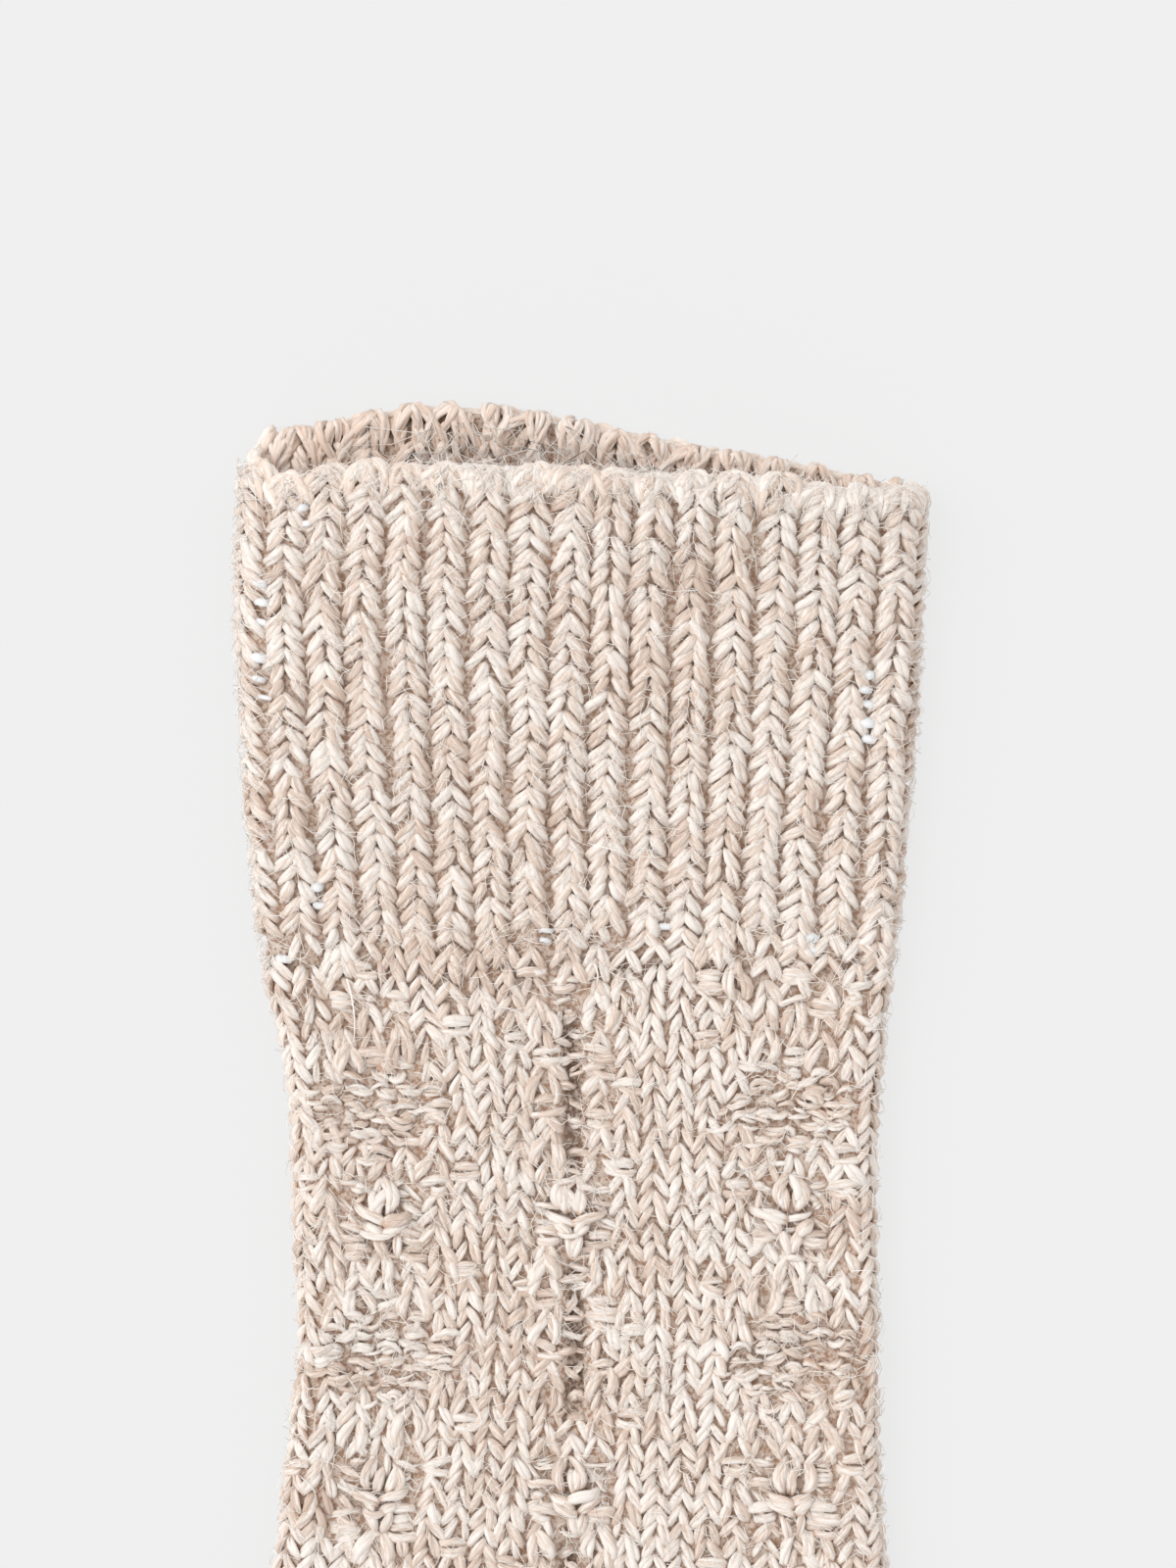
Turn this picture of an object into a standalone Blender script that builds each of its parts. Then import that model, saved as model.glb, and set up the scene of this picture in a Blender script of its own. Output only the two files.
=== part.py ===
"""A chunky knitted crew sock, pressed flat and lying on its side.

The sock is one knitted tube that is closed at the toe. It is modelled in five stretches, from the
ribbed cuff to the toe, each a hollow wall of cloth. The cuff lies at +Y and the toe points to -X.
The plan below is in millimetres, with its zero at the middle of the front rim.
"""

import math

import bpy
import numpy as np

MM = 0.001

# The cloth
WALL = 2.6
LAYER_GAP = 0.5
SEAM_GAP = 0.3
EDGE_RADIUS = WALL + LAYER_GAP / 2

# The ribbed cuff and its open mouth
RIBS = 34
RIB_PHASE = 0.25
RIB_HEIGHT = 1.1
RIB_FLANK = 0.27
RIB_SHOULDER = 0.85
CUFF_LENGTH = 66.3
MOUTH_LIFT = 9.0
MOUTH_DEPTH = 55.0

# The leg with its three columns of knots
KNOT_REPEAT = 36.4
KNOT_FIRST = 99.0
KNOT_WIDE = 11.5
KNOT_TALL = 9.0
KNOT_HEIGHT = 1.0
LOZENGE_TALL = 13.0
LOZENGE_DEPTH = 0.9
PANEL_CROWN = 0.55
EDGE_WALE = 0.4

# The heel turn, the foot and the toe
ANKLE_LENGTH = 158.0
TURN = math.radians(65)
INSTEP_RADIUS = 30.0
ANKLE_LEFT = -42.0
ANKLE_RIGHT = 41.0
HEEL_BULGE = 13.0
HEEL_STEPS = 6
FOOT_LENGTH = 104.0
FOOT_TAPER = 4.0
TOE_LENGTH = 44.0
ANKLE_FOLD_WIDE = 0.075
FAN_GAP = 0.2

# Outline of the cuff and the leg: distance below the front rim, left edge and right edge
CUFF_ROWS = [
    # down, left, right
    (0.0, -45.2, 45.6),
    (15.6, -45.9, 45.0),
    (35.1, -45.1, 43.9),
    (52.0, -43.8, 42.5),
    (66.3, -42.4, 41.3),
]
LEG_ROWS = [
    # down, left, right
    (66.3, -41.2, 39.8),
    (75.4, -39.6, 39.1),
    (83.2, -38.2, 38.5),
    (98.8, -37.8, 38.1),
    (114.4, -37.0, 38.3),
    (130.0, -38.4, 38.5),
    (145.6, -40.3, 39.4),
]

# Foot: share of its length, how far the instep and the sole stand out from straight
FOOT_ROWS = [
    # share, instep, sole
    (0.33, -0.8, -0.6),
    (0.67, -0.4, 0.9),
    (1.0, 0.0, 0.6),
]

# Soft folds where the ankle bends: share of the turn, reach in from the instep edge, height
FOLD_ROWS = [
    # turn, reach, height
    (0.30, 26.0, 0.8),
    (0.56, 34.0, 1.1),
    (0.80, 22.0, 0.7),
]

# Toe: distance left to the tip, share of the foot's width, share of its thickness
TOE_ROWS = [
    # to_tip, width, thickness
    (33.0, 0.98, 1.0),
    (23.0, 0.925, 1.0),
    (14.0, 0.82, 0.98),
    (7.0, 0.67, 0.95),
    (2.5, 0.50, 0.90),
    (0.0, 0.33, 0.84),
]

# How far the rim reaches past the front rim, round the tube from the left edge over the front
RIM_ROWS = [
    # round, reach
    (0.00, 1.0),
    (0.03, -1.2),
    (0.07, 0.0),
    (0.12, 0.3),
    (0.19, 0.0),
    (0.25, -0.6),
    (0.36, -1.3),
    (0.46, -2.6),
    (0.50, -2.2),
    (0.54, -1.3),
    (0.60, 1.3),
    (0.66, 2.6),
    (0.72, 5.2),
    (0.76, 6.7),
    (0.83, 8.5),
    (0.89, 8.2),
    (0.93, 6.2),
    (0.97, 5.0),
    (1.00, 1.0),
]

# The three columns of knots: place across the width, width of the sunk lozenge
COLUMN_ROWS = [
    # across, lozenge_wide
    (-27.6, 10.0),
    (-1.3, 3.6),
    (27.6, 10.0),
]

COLOURS = {
    "cuff": (0.62, 0.51, 0.43),
    "leg": (0.60, 0.50, 0.42),
    "heel": (0.58, 0.48, 0.40),
    "foot": (0.61, 0.51, 0.43),
    "toe": (0.58, 0.48, 0.40),
}


def curve(xs, ys, x):
    """Smooth values between table rows: a cubic through every row."""
    xs, ys = np.asarray(xs, float), np.asarray(ys, float)
    slopes = np.gradient(ys, xs)
    i = int(np.clip(np.searchsorted(xs, x) - 1, 0, len(xs) - 2))
    span = xs[i + 1] - xs[i]
    t = min(max((x - xs[i]) / span, 0.0), 1.0)
    start = (1 + 2 * t) * (1 - t) ** 2 * ys[i] + t * (1 - t) ** 2 * span * slopes[i]
    end = t * t * (3 - 2 * t) * ys[i + 1] - t * t * (1 - t) * span * slopes[i + 1]
    return start + end


def step(low, high, x):
    """0 below low, 1 above high, and smooth between them."""
    t = min(max((x - low) / (high - low), 0.0), 1.0)
    return t * t * (3 - 2 * t)


def body_sections():
    """Left point, right point and edge radius of each section, from the cuff's end to the toe's tip."""
    rows = [((left, -down), (right, -down), EDGE_RADIUS) for down, left, right in LEG_ROWS]
    pivot = np.array((ANKLE_LEFT - INSTEP_RADIUS, -ANKLE_LENGTH))
    ankle_width = ANKLE_RIGHT - ANKLE_LEFT
    for k in range(HEEL_STEPS + 1):
        part = k / HEEL_STEPS
        outward = np.array((math.cos(TURN * part), -math.sin(TURN * part)))
        width = ankle_width + HEEL_BULGE * math.sin(math.pi * part) ** 2 - FOOT_TAPER * part
        rows.append((pivot + outward * INSTEP_RADIUS, pivot + outward * (INSTEP_RADIUS + width), EDGE_RADIUS))
    forward = np.array((-math.sin(TURN), -math.cos(TURN)))
    instep, sole = rows[-1][0], rows[-1][1]
    for share, instep_out, sole_out in FOOT_ROWS:
        along = forward * FOOT_LENGTH * share
        rows.append((instep + along - outward * instep_out, sole + along + outward * sole_out, EDGE_RADIUS))
    middle = (rows[-1][0] + rows[-1][1]) / 2
    half = (rows[-1][1] - rows[-1][0]) / 2
    for to_tip, width, thickness in TOE_ROWS:
        centre = middle + forward * (TOE_LENGTH - to_tip)
        rows.append((centre - half * width, centre + half * width, EDGE_RADIUS * thickness))
    return rows


class Stretch:
    """The outline of one stretch of the tube: its edges and their radius, by distance from the rim."""

    def __init__(self, rows, start):
        self.left = np.array([row[0] for row in rows], float)
        self.right = np.array([row[1] for row in rows], float)
        self.radius = np.array([row[2] for row in rows], float)
        steps = np.linalg.norm(np.diff((self.left + self.right) / 2, axis=0), axis=1)
        self.station = start + np.concatenate(([0.0], np.cumsum(steps)))

    def at(self, station):
        """Left point, right point and edge radius at a distance from the rim."""
        left = np.array([curve(self.station, self.left[:, i], station) for i in (0, 1)])
        right = np.array([curve(self.station, self.right[:, i], station) for i in (0, 1)])
        return left, right, curve(self.station, self.radius, station)


CUFF = Stretch([((left, -down), (right, -down), EDGE_RADIUS) for down, left, right in CUFF_ROWS], 0.0)
BODY = Stretch(body_sections(), CUFF_LENGTH)
HEEL_START = BODY.station[len(LEG_ROWS)]
HEEL_END = BODY.station[len(LEG_ROWS) + HEEL_STEPS]
FOOT_END = BODY.station[-1 - len(TOE_ROWS)]
TOE_END = BODY.station[-1]


def ring_place(around, width, radius):
    """A point of the flattened tube's section: across, up, and its outward direction."""
    flat = width - 2 * radius
    bend = math.pi * radius
    walk = (around % 1.0) * 2 * (flat + bend) - bend / 2
    if walk < 0:
        walk += 2 * (flat + bend)
    if walk < flat:
        return walk - flat / 2, radius, 0.0, 1.0
    walk -= flat
    if walk < bend:
        angle = math.pi / 2 - walk / radius
        return flat / 2 + radius * math.cos(angle), radius * math.sin(angle), math.cos(angle), math.sin(angle)
    walk -= bend
    if walk < flat:
        return flat / 2 - walk, -radius, 0.0, -1.0
    walk -= flat
    angle = -math.pi / 2 - walk / radius
    return -flat / 2 + radius * math.cos(angle), radius * math.sin(angle), math.cos(angle), math.sin(angle)


def surface(around, station, height, trim=0.0):
    """A point of the cloth in the plan, height above its base surface, with the edges set in by trim."""
    left, right, radius = (CUFF if station < CUFF_LENGTH else BODY).at(station)
    across_way = (right - left) / np.linalg.norm(right - left)
    width = np.linalg.norm(right - left) - 2 * trim
    across, up, out_across, out_up = ring_place(around, width, radius)
    share = 2 * across / width
    lift = 0.0
    if station < MOUTH_DEPTH and up > -radius:
        arch = max(1 - share * share, 0.0) ** 0.8
        lift = MOUTH_LIFT * arch * (1 - station / MOUTH_DEPTH) ** 1.5 * step(-radius, radius, up)
    point = (left + right) / 2 + across_way * (across + out_across * height)
    if station < CUFF_LENGTH:
        reach = curve([r[0] for r in RIM_ROWS], [r[1] for r in RIM_ROWS], around % 1.0)
        point[1] += reach * (1 - station / CUFF_LENGTH)
    return point[0], point[1], EDGE_RADIUS + up + out_up * height + lift


def topside(around):
    """1 on the front and the side edges, 0 on the underside that lies on the surface."""
    up = ring_place(around, 80.0, EDGE_RADIUS)[3]
    return step(-0.75, -0.05, up)


def rib_relief(around, station):
    """Round ribs with narrow grooves between them."""
    phase = (around * RIBS - RIB_PHASE) % 1.0
    off_crest = min(phase, 1 - phase)
    profile = np.interp(off_crest, (0, RIB_FLANK, 0.5), (1, RIB_SHOULDER, 0))
    return RIB_HEIGHT * profile * topside(around)


def knot_relief(around, station):
    """Crowned plain panels, raised knots, and the sunk lozenges between the knots."""
    x, y, _ = surface(around, station, 0.0)
    if around % 1.0 > 0.5:
        return EDGE_WALE * topside(around)
    to_knot = (-y - KNOT_FIRST) / KNOT_REPEAT
    off_knot = abs(to_knot - round(to_knot)) * KNOT_REPEAT
    off_lozenge = KNOT_REPEAT / 2 - off_knot
    nearest = min(abs(x - across) for across, _ in COLUMN_ROWS)
    relief = PANEL_CROWN * step(5.0, 9.0, nearest)
    for across, lozenge_wide in COLUMN_ROWS:
        knot = step(1.0, 0.0, math.hypot((x - across) / KNOT_WIDE, off_knot / KNOT_TALL) * 1.6)
        sink = step(1.0, 0.35, math.hypot((x - across) / lozenge_wide, off_lozenge / LOZENGE_TALL) * 1.7)
        relief += KNOT_HEIGHT * knot - LOZENGE_DEPTH * sink
    return relief * topside(around)


def ankle_relief(around, station):
    """Soft folds that fan out from the inside of the ankle."""
    share = (station - HEEL_START) / (HEEL_END - HEEL_START)
    left, right, radius = BODY.at(station)
    width = np.linalg.norm(right - left)
    from_instep = ring_place(around, width, radius)[0] + width / 2
    relief = 0.0
    for turn, reach, height in FOLD_ROWS:
        ridge = step(1.0, 0.0, abs(share - turn) / ANKLE_FOLD_WIDE)
        relief += height * ridge * step(reach, 0.25 * reach, from_instep)
    return relief * topside(around)


def plain_relief(around, station):
    """Plain knitting has no relief of its own."""
    return 0.0


def rib_rounds():
    """Places round the tube of each rib's crest, its two flanks and its groove."""
    parts = (0, RIB_FLANK, 0.5, 1 - RIB_FLANK)
    return [(k + RIB_PHASE + part) / RIBS for k in range(RIBS) for part in parts]


def even_rounds(count):
    """Places spaced evenly round the tube."""
    return [k / count for k in range(count)]


def ring(rounds, station, relief, inward=0.0, trim=0.0):
    """One closed ring of points, on the outside or moved in by the wall."""
    return [surface(a, station, relief(a, station) - inward, trim) for a in rounds]


def bridge(faces, first, first_count, second, second_count):
    """Faces between two closed rings whose counts may differ by a whole factor."""
    many = max(first_count, second_count)
    for k in range(many):
        a = first + k * first_count // many
        b = first + (k + 1) * first_count // many % first_count
        c = second + (k + 1) * second_count // many % second_count
        d = second + k * second_count // many
        corners = [corner for i, corner in enumerate((a, b, c, d)) if corner not in (a, b, c, d)[:i]]
        faces.append(corners[::-1])


def make_node(name, points, faces):
    """A named object in its own material, from plan points in millimetres."""
    mesh = bpy.data.meshes.new(name)
    mesh.from_pydata([tuple(point) for point in points * MM], [], faces)
    mesh.update()
    colour = COLOURS[name]
    material = bpy.data.materials.new(name + "_yarn")
    material.use_nodes = True
    shader = material.node_tree.nodes["Principled BSDF"]
    shader.inputs["Base Color"].default_value = (*colour, 1.0)
    shader.inputs["Roughness"].default_value = 0.95
    shader.inputs["Metallic"].default_value = 0.0
    mesh.materials.append(material)
    mesh.shade_smooth()
    mesh.set_sharp_from_angle(angle=math.radians(50))
    node = bpy.data.objects.new(name, mesh)
    bpy.context.collection.objects.link(node)


def tube(outer_stations, inner_stations, rounds, inner_step, relief, trim):
    """Points and faces of an open tube of cloth: outside, inside and its two end walls."""
    inner_rounds = rounds[::inner_step]
    rings = [ring(rounds, s, relief, 0.0, trim) for s in outer_stations]
    inner = [ring(inner_rounds, s, plain_relief, WALL, trim) for s in inner_stations]
    points, starts = [], []
    for loop in rings + inner:
        starts.append(len(points))
        points.extend(loop)
    faces = []
    outer_count, inner_count = len(rounds), len(inner_rounds)
    for k in range(len(rings) - 1):
        bridge(faces, starts[k], outer_count, starts[k + 1], outer_count)
    for k in range(len(rings), len(starts) - 1):
        bridge(faces, starts[k + 1], inner_count, starts[k], inner_count)
    bridge(faces, starts[len(rings)], inner_count, starts[0], outer_count)
    bridge(faces, starts[len(rings) - 1], outer_count, starts[-1], inner_count)
    return np.array(points), faces


def cup(outer_stations, inner_stations, rounds, inner_step):
    """Points and faces of the toe: a tube whose outside and inside are both closed at the tip."""
    points, faces = tube(outer_stations, inner_stations, rounds, inner_step, plain_relief, 0.0)
    outer_count, inner_count = len(rounds), len(rounds[::inner_step])
    end_wall = max(outer_count, inner_count)
    faces = faces[:-end_wall]
    outer_tip = (len(outer_stations) - 1) * outer_count
    inner_tip = len(points) - inner_count
    faces.append([outer_tip + k for k in reversed(range(outer_count))])
    faces.append([inner_tip + k for k in range(inner_count)])
    return points, faces


def spread(start, end, count):
    """Stations spaced evenly from start to end, set in by half a seam gap at each end."""
    return list(np.linspace(start + SEAM_GAP / 2, end - SEAM_GAP / 2, count))


for old in list(bpy.data.objects):
    bpy.data.objects.remove(old)

cuff_end = CUFF_LENGTH - SEAM_GAP / 2
cuff = tube([0.0, 3.0, 9.0, 18.0, 30.0, 42.0, 54.0, cuff_end], [0.0, 9.0, 18.0, 30.0, 42.0, 54.0, cuff_end],
            rib_rounds(), 4, rib_relief, RIB_HEIGHT)
leg = tube(spread(CUFF_LENGTH, HEEL_START, 37), spread(CUFF_LENGTH, HEEL_START, 8),
           even_rounds(120), 5, knot_relief, EDGE_WALE)
heel_ends = (HEEL_START + FAN_GAP, HEEL_END - FAN_GAP)
heel = tube(spread(*heel_ends, 27), spread(*heel_ends, 9),
            even_rounds(60), 2, ankle_relief, 0.0)
foot = tube(spread(HEEL_END, FOOT_END, 8), spread(HEEL_END, FOOT_END, 5),
            even_rounds(48), 2, plain_relief, 0.0)
toe_outer = [FOOT_END + SEAM_GAP / 2] + [TOE_END - row[0] for row in TOE_ROWS]
toe_inner = [FOOT_END + SEAM_GAP / 2] + [TOE_END - row[0] for row in TOE_ROWS[:-2]]
toe = cup(toe_outer, toe_inner, even_rounds(48), 2)

NODES = {"cuff": cuff, "leg": leg, "heel": heel, "foot": foot, "toe": toe}

everything = np.concatenate([points for points, faces in NODES.values()])
low, high = everything.min(axis=0), everything.max(axis=0)
origin = np.array(((low[0] + high[0]) / 2, (low[1] + high[1]) / 2, low[2]))

for name, (points, faces) in NODES.items():
    make_node(name, points - origin, faces)
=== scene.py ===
import math

import bpy
import numpy as np
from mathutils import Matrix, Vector


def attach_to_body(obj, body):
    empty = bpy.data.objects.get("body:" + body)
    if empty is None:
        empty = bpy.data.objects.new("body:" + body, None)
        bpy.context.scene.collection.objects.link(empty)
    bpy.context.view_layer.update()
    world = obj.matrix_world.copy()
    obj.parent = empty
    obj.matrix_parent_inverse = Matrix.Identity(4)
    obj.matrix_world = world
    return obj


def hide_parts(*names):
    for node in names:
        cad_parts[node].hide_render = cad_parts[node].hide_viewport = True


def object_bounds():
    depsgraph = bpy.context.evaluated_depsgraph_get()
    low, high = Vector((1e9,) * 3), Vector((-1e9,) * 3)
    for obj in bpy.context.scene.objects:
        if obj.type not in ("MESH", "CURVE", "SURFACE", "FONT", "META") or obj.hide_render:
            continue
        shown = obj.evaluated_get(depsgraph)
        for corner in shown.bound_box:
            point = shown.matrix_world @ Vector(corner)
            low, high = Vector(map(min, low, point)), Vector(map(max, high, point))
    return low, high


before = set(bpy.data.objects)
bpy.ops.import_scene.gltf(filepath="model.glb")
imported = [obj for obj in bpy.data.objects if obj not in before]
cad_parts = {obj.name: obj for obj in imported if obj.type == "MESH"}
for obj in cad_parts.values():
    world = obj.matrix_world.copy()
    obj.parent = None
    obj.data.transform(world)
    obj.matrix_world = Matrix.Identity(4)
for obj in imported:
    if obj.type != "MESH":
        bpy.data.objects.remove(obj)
solid_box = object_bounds()

# ---- The surface, the light and the camera ---------------------------------------------------
# A pale grey sheet, lit through from below, under a broad soft lamp from the left and an even fill.
# The camera looks straight down at the cuff and the leg, as the photograph does.
FRAME_LONG_SIDE = 0.208
LENS_MM = 100.0
SENSOR_MM = 36.0
VIEW_ACROSS = 0.00065
VIEW_DOWN = 0.0416
CLOTH_LEVEL = 0.006
CLIP_START = 0.01
SWEEP_SIZE = 6.0
SWEEP_DROP = 0.0001
SWEEP_GREY = 0.11
SWEEP_GLOW = 0.738
FILL_STRENGTH = 0.86
KEY_STRENGTH = 1.38
KEY_ANGLE = math.radians(48)
KEY_FROM = (-0.80, 0.25, 0.95)
WHITE = (1.0, 1.0, 1.0, 1.0)
# From the middle of the cuff's front rim to the right and back sides of the solids' box
RIM_TO_BOX = (0.045432, 0.008658)
RIM_MIDDLE = np.array((solid_box[1][0] - RIM_TO_BOX[0], solid_box[1][1] - RIM_TO_BOX[1], 0.0))


def put(name, data):
    """Adds an object to the scene."""
    thing = bpy.data.objects.new(name, data)
    bpy.context.collection.objects.link(thing)
    return thing


camera = put("camera", bpy.data.cameras.new("camera"))
camera.data.lens = LENS_MM
camera.data.sensor_width = SENSOR_MM
camera.data.clip_start = CLIP_START
camera_height = FRAME_LONG_SIDE * LENS_MM / SENSOR_MM + CLOTH_LEVEL
camera.location = (RIM_MIDDLE[0] + VIEW_ACROSS, RIM_MIDDLE[1] - VIEW_DOWN, camera_height)
scene = bpy.context.scene
scene.camera = camera
scene.view_settings.view_transform = "Standard"

world = bpy.data.worlds.new("fill")
world.use_nodes = True
fill = world.node_tree.nodes["Background"].inputs
fill["Color"].default_value = WHITE
fill["Strength"].default_value = FILL_STRENGTH
scene.world = world

key = put("key", bpy.data.lights.new("key", "SUN"))
key.data.energy = KEY_STRENGTH
key.data.angle = KEY_ANGLE
key.rotation_euler = Vector(KEY_FROM).to_track_quat("Z", "Y").to_euler()


class Wire:
    """A shader value. Arithmetic on it adds the Math nodes that work the sum out."""

    def __init__(self, tree, socket=None):
        self.tree = tree
        self.socket = socket

    def node(self, kind, settings, sockets, output=0):
        """Adds one node: its type, its settings, then the values or wires of its sockets."""
        made = self.tree.nodes.new(kind)
        for key, value in settings.items():
            setattr(made, key, value)
        for key, value in sockets.items():
            if isinstance(value, Wire):
                self.tree.links.new(value.socket, made.inputs[key])
            else:
                made.inputs[key].default_value = value
        return Wire(self.tree, made.outputs[output]) if made.outputs else None

    def maths(self, operation, *values):
        return self.node("ShaderNodeMath", {"operation": operation}, dict(enumerate(values)))

    def __add__(self, other):
        return self.maths("ADD", self, other)

    def __sub__(self, other):
        return self.maths("SUBTRACT", self, other)

    def __rsub__(self, other):
        return self.maths("SUBTRACT", other, self)

    def __mul__(self, other):
        return self.maths("MULTIPLY", self, other)

    __radd__ = __add__
    __rmul__ = __mul__

    def ramp(self, low, high):
        """0 below low, 1 above high and smooth between."""
        sockets = {"Value": self, "From Min": low, "From Max": high}
        return self.node("ShaderNodeMapRange", {"interpolation_type": "SMOOTHSTEP"}, sockets)

    def tint(self, first, second):
        """The first colour where this value is 0, the second where it is 1."""
        sides = [colour if isinstance(colour, Wire) else (*colour, 1.0) for colour in (first, second)]
        return self.node("ShaderNodeMix", {"data_type": "RGBA"}, {0: self, 6: sides[0], 7: sides[1]}, 2)

    def noise(self, scale, detail, roughness):
        """Noise read at this vector."""
        sockets = {"Vector": self, "Scale": scale, "Detail": detail, "Roughness": roughness}
        return self.node("ShaderNodeTexNoise", {"noise_dimensions": "3D"}, sockets)

    def stretched(self, amounts):
        """This vector multiplied by three amounts."""
        return self.node("ShaderNodeVectorMath", {"operation": "MULTIPLY"}, {0: self, 1: amounts})

    def read(self, name, output="Vector"):
        """A vector or a value that is stored on the mesh's points."""
        return self.node("ShaderNodeAttribute", {"attribute_name": name}, {}, output)


def new_finish(name):
    """A named material with an empty tree, and a wire to build it with."""
    material = bpy.data.materials.new(name)
    material.use_nodes = True
    material.node_tree.nodes.clear()
    return material, Wire(material.node_tree)


def seal(tree, sockets):
    """The Principled shader of a finish, and its output."""
    shader = tree.node("ShaderNodeBsdfPrincipled", {}, sockets)
    tree.node("ShaderNodeOutputMaterial", {}, {"Surface": shader})


sweep_mesh = bpy.data.meshes.new("sweep")
half = SWEEP_SIZE / 2
sweep_corners = [(-half, -half, 0), (half, -half, 0), (half, half, 0), (-half, half, 0)]
sweep_mesh.from_pydata(sweep_corners, [], [(0, 1, 2, 3)])
sweep = put("sweep", sweep_mesh)
sweep.location.z = -SWEEP_DROP
sweep_paper, tree = new_finish("sweep_paper")
seal(tree, {"Base Color": (SWEEP_GREY, SWEEP_GREY, SWEEP_GREY, 1.0), "Roughness": 0.9,
            "Specular IOR Level": 0.0, "Emission Color": WHITE, "Emission Strength": SWEEP_GLOW})
sweep_mesh.materials.append(sweep_paper)

# ---- The melange yarn ------------------------------------------------------------------------
# A soft carded yarn of cream, beige and taupe fibres with a slight twist. The fibres run along
# each strand as fine streaks, and the mix drifts from pale to taupe along a row of knitting.
# Painted shade: brown on the strands' low sides and ends, and on the ground between the stitches.
CREAM = (0.885, 0.825, 0.77)
BEIGE = (0.79, 0.66, 0.57)
TAUPE = (0.52, 0.375, 0.29)
# Painted shade on the low sides and the ends of the strands
PAINTED_SHADE_BROWN = (0.5775, 0.3255, 0.19425)
# Painted shade on the ground: its dark tufts, its darkest hollows, and a darker beige
UNDER_SHADE_BROWN = (0.40, 0.255, 0.175)
HOLLOW_SHADE_BROWN = (0.17, 0.11, 0.08)
GROUND_SHADE = 0.86
# The scale of the mix: twice across a strand and once along it
FIBRE_STREAKS = (2.4, 2.4, 0.22)
HAIR_STREAKS = (6.5, 6.5, 0.45)
# The scale of its drift: round the tube, down it, and from strand to strand
ROW_DRIFT = (0.06, 0.61, 2.2)
ZONE_DRIFT = (0.045, 0.12, 0.0)
ZONE_SHARE = 0.3
# Where each tint sets in and is full, and its share of the colour
LIGHT_FROM, LIGHT_FULL = 0.43, 0.57
DARK_FROM, DARK_FULL, DARK_SHARE = 0.52, 0.72, 0.6
# The low and tip tints are painted shade
LOW_FROM, LOW_FULL, LOW_SHADE_SHARE = 0.4, 0.95, 0.75
TIP_FROM, TIP_FULL, TIP_SHADE_SHARE = 0.35, 1.0, 0.55
LIGHT_DRIFT = 0.9
DARK_DRIFT = 1.1
STREAK_BUMP = 0.00024
GROUND_TUFTS = 1500.0
TUFT_FROM, TUFT_FULL = 0.38, 0.58
HOLLOW_FROM, HOLLOW_FULL = 0.46, 0.68
GROUND_BUMP = 0.0004


def shaded(colour, shade):
    """A colour made darker, or paler with a shade above 1."""
    return tuple(channel * shade for channel in colour)


def yarn_finish(name, shade, depth):
    """The yarn on knitted strands, with painted shade by depth at its ends and low on its sides."""
    material, tree = new_finish(name)
    grain, course = tree.read("grain"), tree.read("course")
    tip, low = tree.read("tip", "Fac"), tree.read("low", "Fac")
    fibres = grain.stretched(FIBRE_STREAKS).noise(1.0, 2.0, 0.5)
    hairs = grain.stretched(HAIR_STREAKS).noise(1.0, 2.0, 0.6)
    rows = course.stretched(ROW_DRIFT).noise(1.0, 2.0, 0.5)
    zones = course.stretched(ZONE_DRIFT).noise(1.0, 1.0, 0.5)
    drift = rows * (1 - ZONE_SHARE) + zones * ZONE_SHARE
    streak = fibres * 0.5 + hairs * 0.5
    light = (streak + (drift - 0.5) * LIGHT_DRIFT).ramp(LIGHT_FROM, LIGHT_FULL)
    dark = (1.0 - streak + (0.5 - drift) * DARK_DRIFT).ramp(DARK_FROM, DARK_FULL)
    colour = light.tint(shaded(BEIGE, shade), shaded(CREAM, shade))
    colour = (dark * (DARK_SHARE * depth)).tint(colour, shaded(TAUPE, shade))
    # Painted shade: brown low on each strand's sides, then towards its ends
    colour = (low.ramp(LOW_FROM, LOW_FULL) * (LOW_SHADE_SHARE * depth)).tint(colour, shaded(PAINTED_SHADE_BROWN, shade))
    colour = (tip.ramp(TIP_FROM, TIP_FULL) * (TIP_SHADE_SHARE * depth)).tint(colour, shaded(PAINTED_SHADE_BROWN, shade))
    bump = {"Strength": 0.8, "Distance": STREAK_BUMP, "Height": streak}
    sockets = {"Base Color": colour, "Roughness": 0.92, "Sheen Weight": 0.25, "Sheen Roughness": 0.4,
               "Specular IOR Level": 0.12, "Normal": tree.node("ShaderNodeBump", {}, bump)}
    seal(tree, sockets)
    return material


def ground_finish(name):
    """The yarn that lies deep between the stitches, painted darker as shade, darkest where the cloth is sunk.
    """
    material, tree = new_finish(name)
    place = tree.node("ShaderNodeTexCoord", {}, {}, "Object")
    tufts = place.noise(GROUND_TUFTS, 3.0, 0.6)
    hollow_shade = tree.read("hollow_shade", "Fac")
    # Painted shade: the ground's tufts are darker than the stitches' yarn
    colour = tufts.ramp(TUFT_FROM, TUFT_FULL).tint(UNDER_SHADE_BROWN, shaded(BEIGE, GROUND_SHADE))
    # Painted shade in the hollows, between the tufts
    colour = (hollow_shade * (1.0 - tufts.ramp(HOLLOW_FROM, HOLLOW_FULL))).tint(colour, HOLLOW_SHADE_BROWN)
    bump = {"Strength": 1.0, "Distance": GROUND_BUMP, "Height": tufts}
    sockets = {"Base Color": colour, "Roughness": 0.95, "Specular IOR Level": 0.1,
               "Normal": tree.node("ShaderNodeBump", {}, bump)}
    seal(tree, sockets)
    return material


yarn = yarn_finish("melange_yarn", 1.0, 1.0)
# Painted light: the rim's yarn is painted paler, with less taupe and painted shade
rim_painted_light_yarn = yarn_finish("rim_melange_painted_light", 1.08, 0.12)
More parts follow.
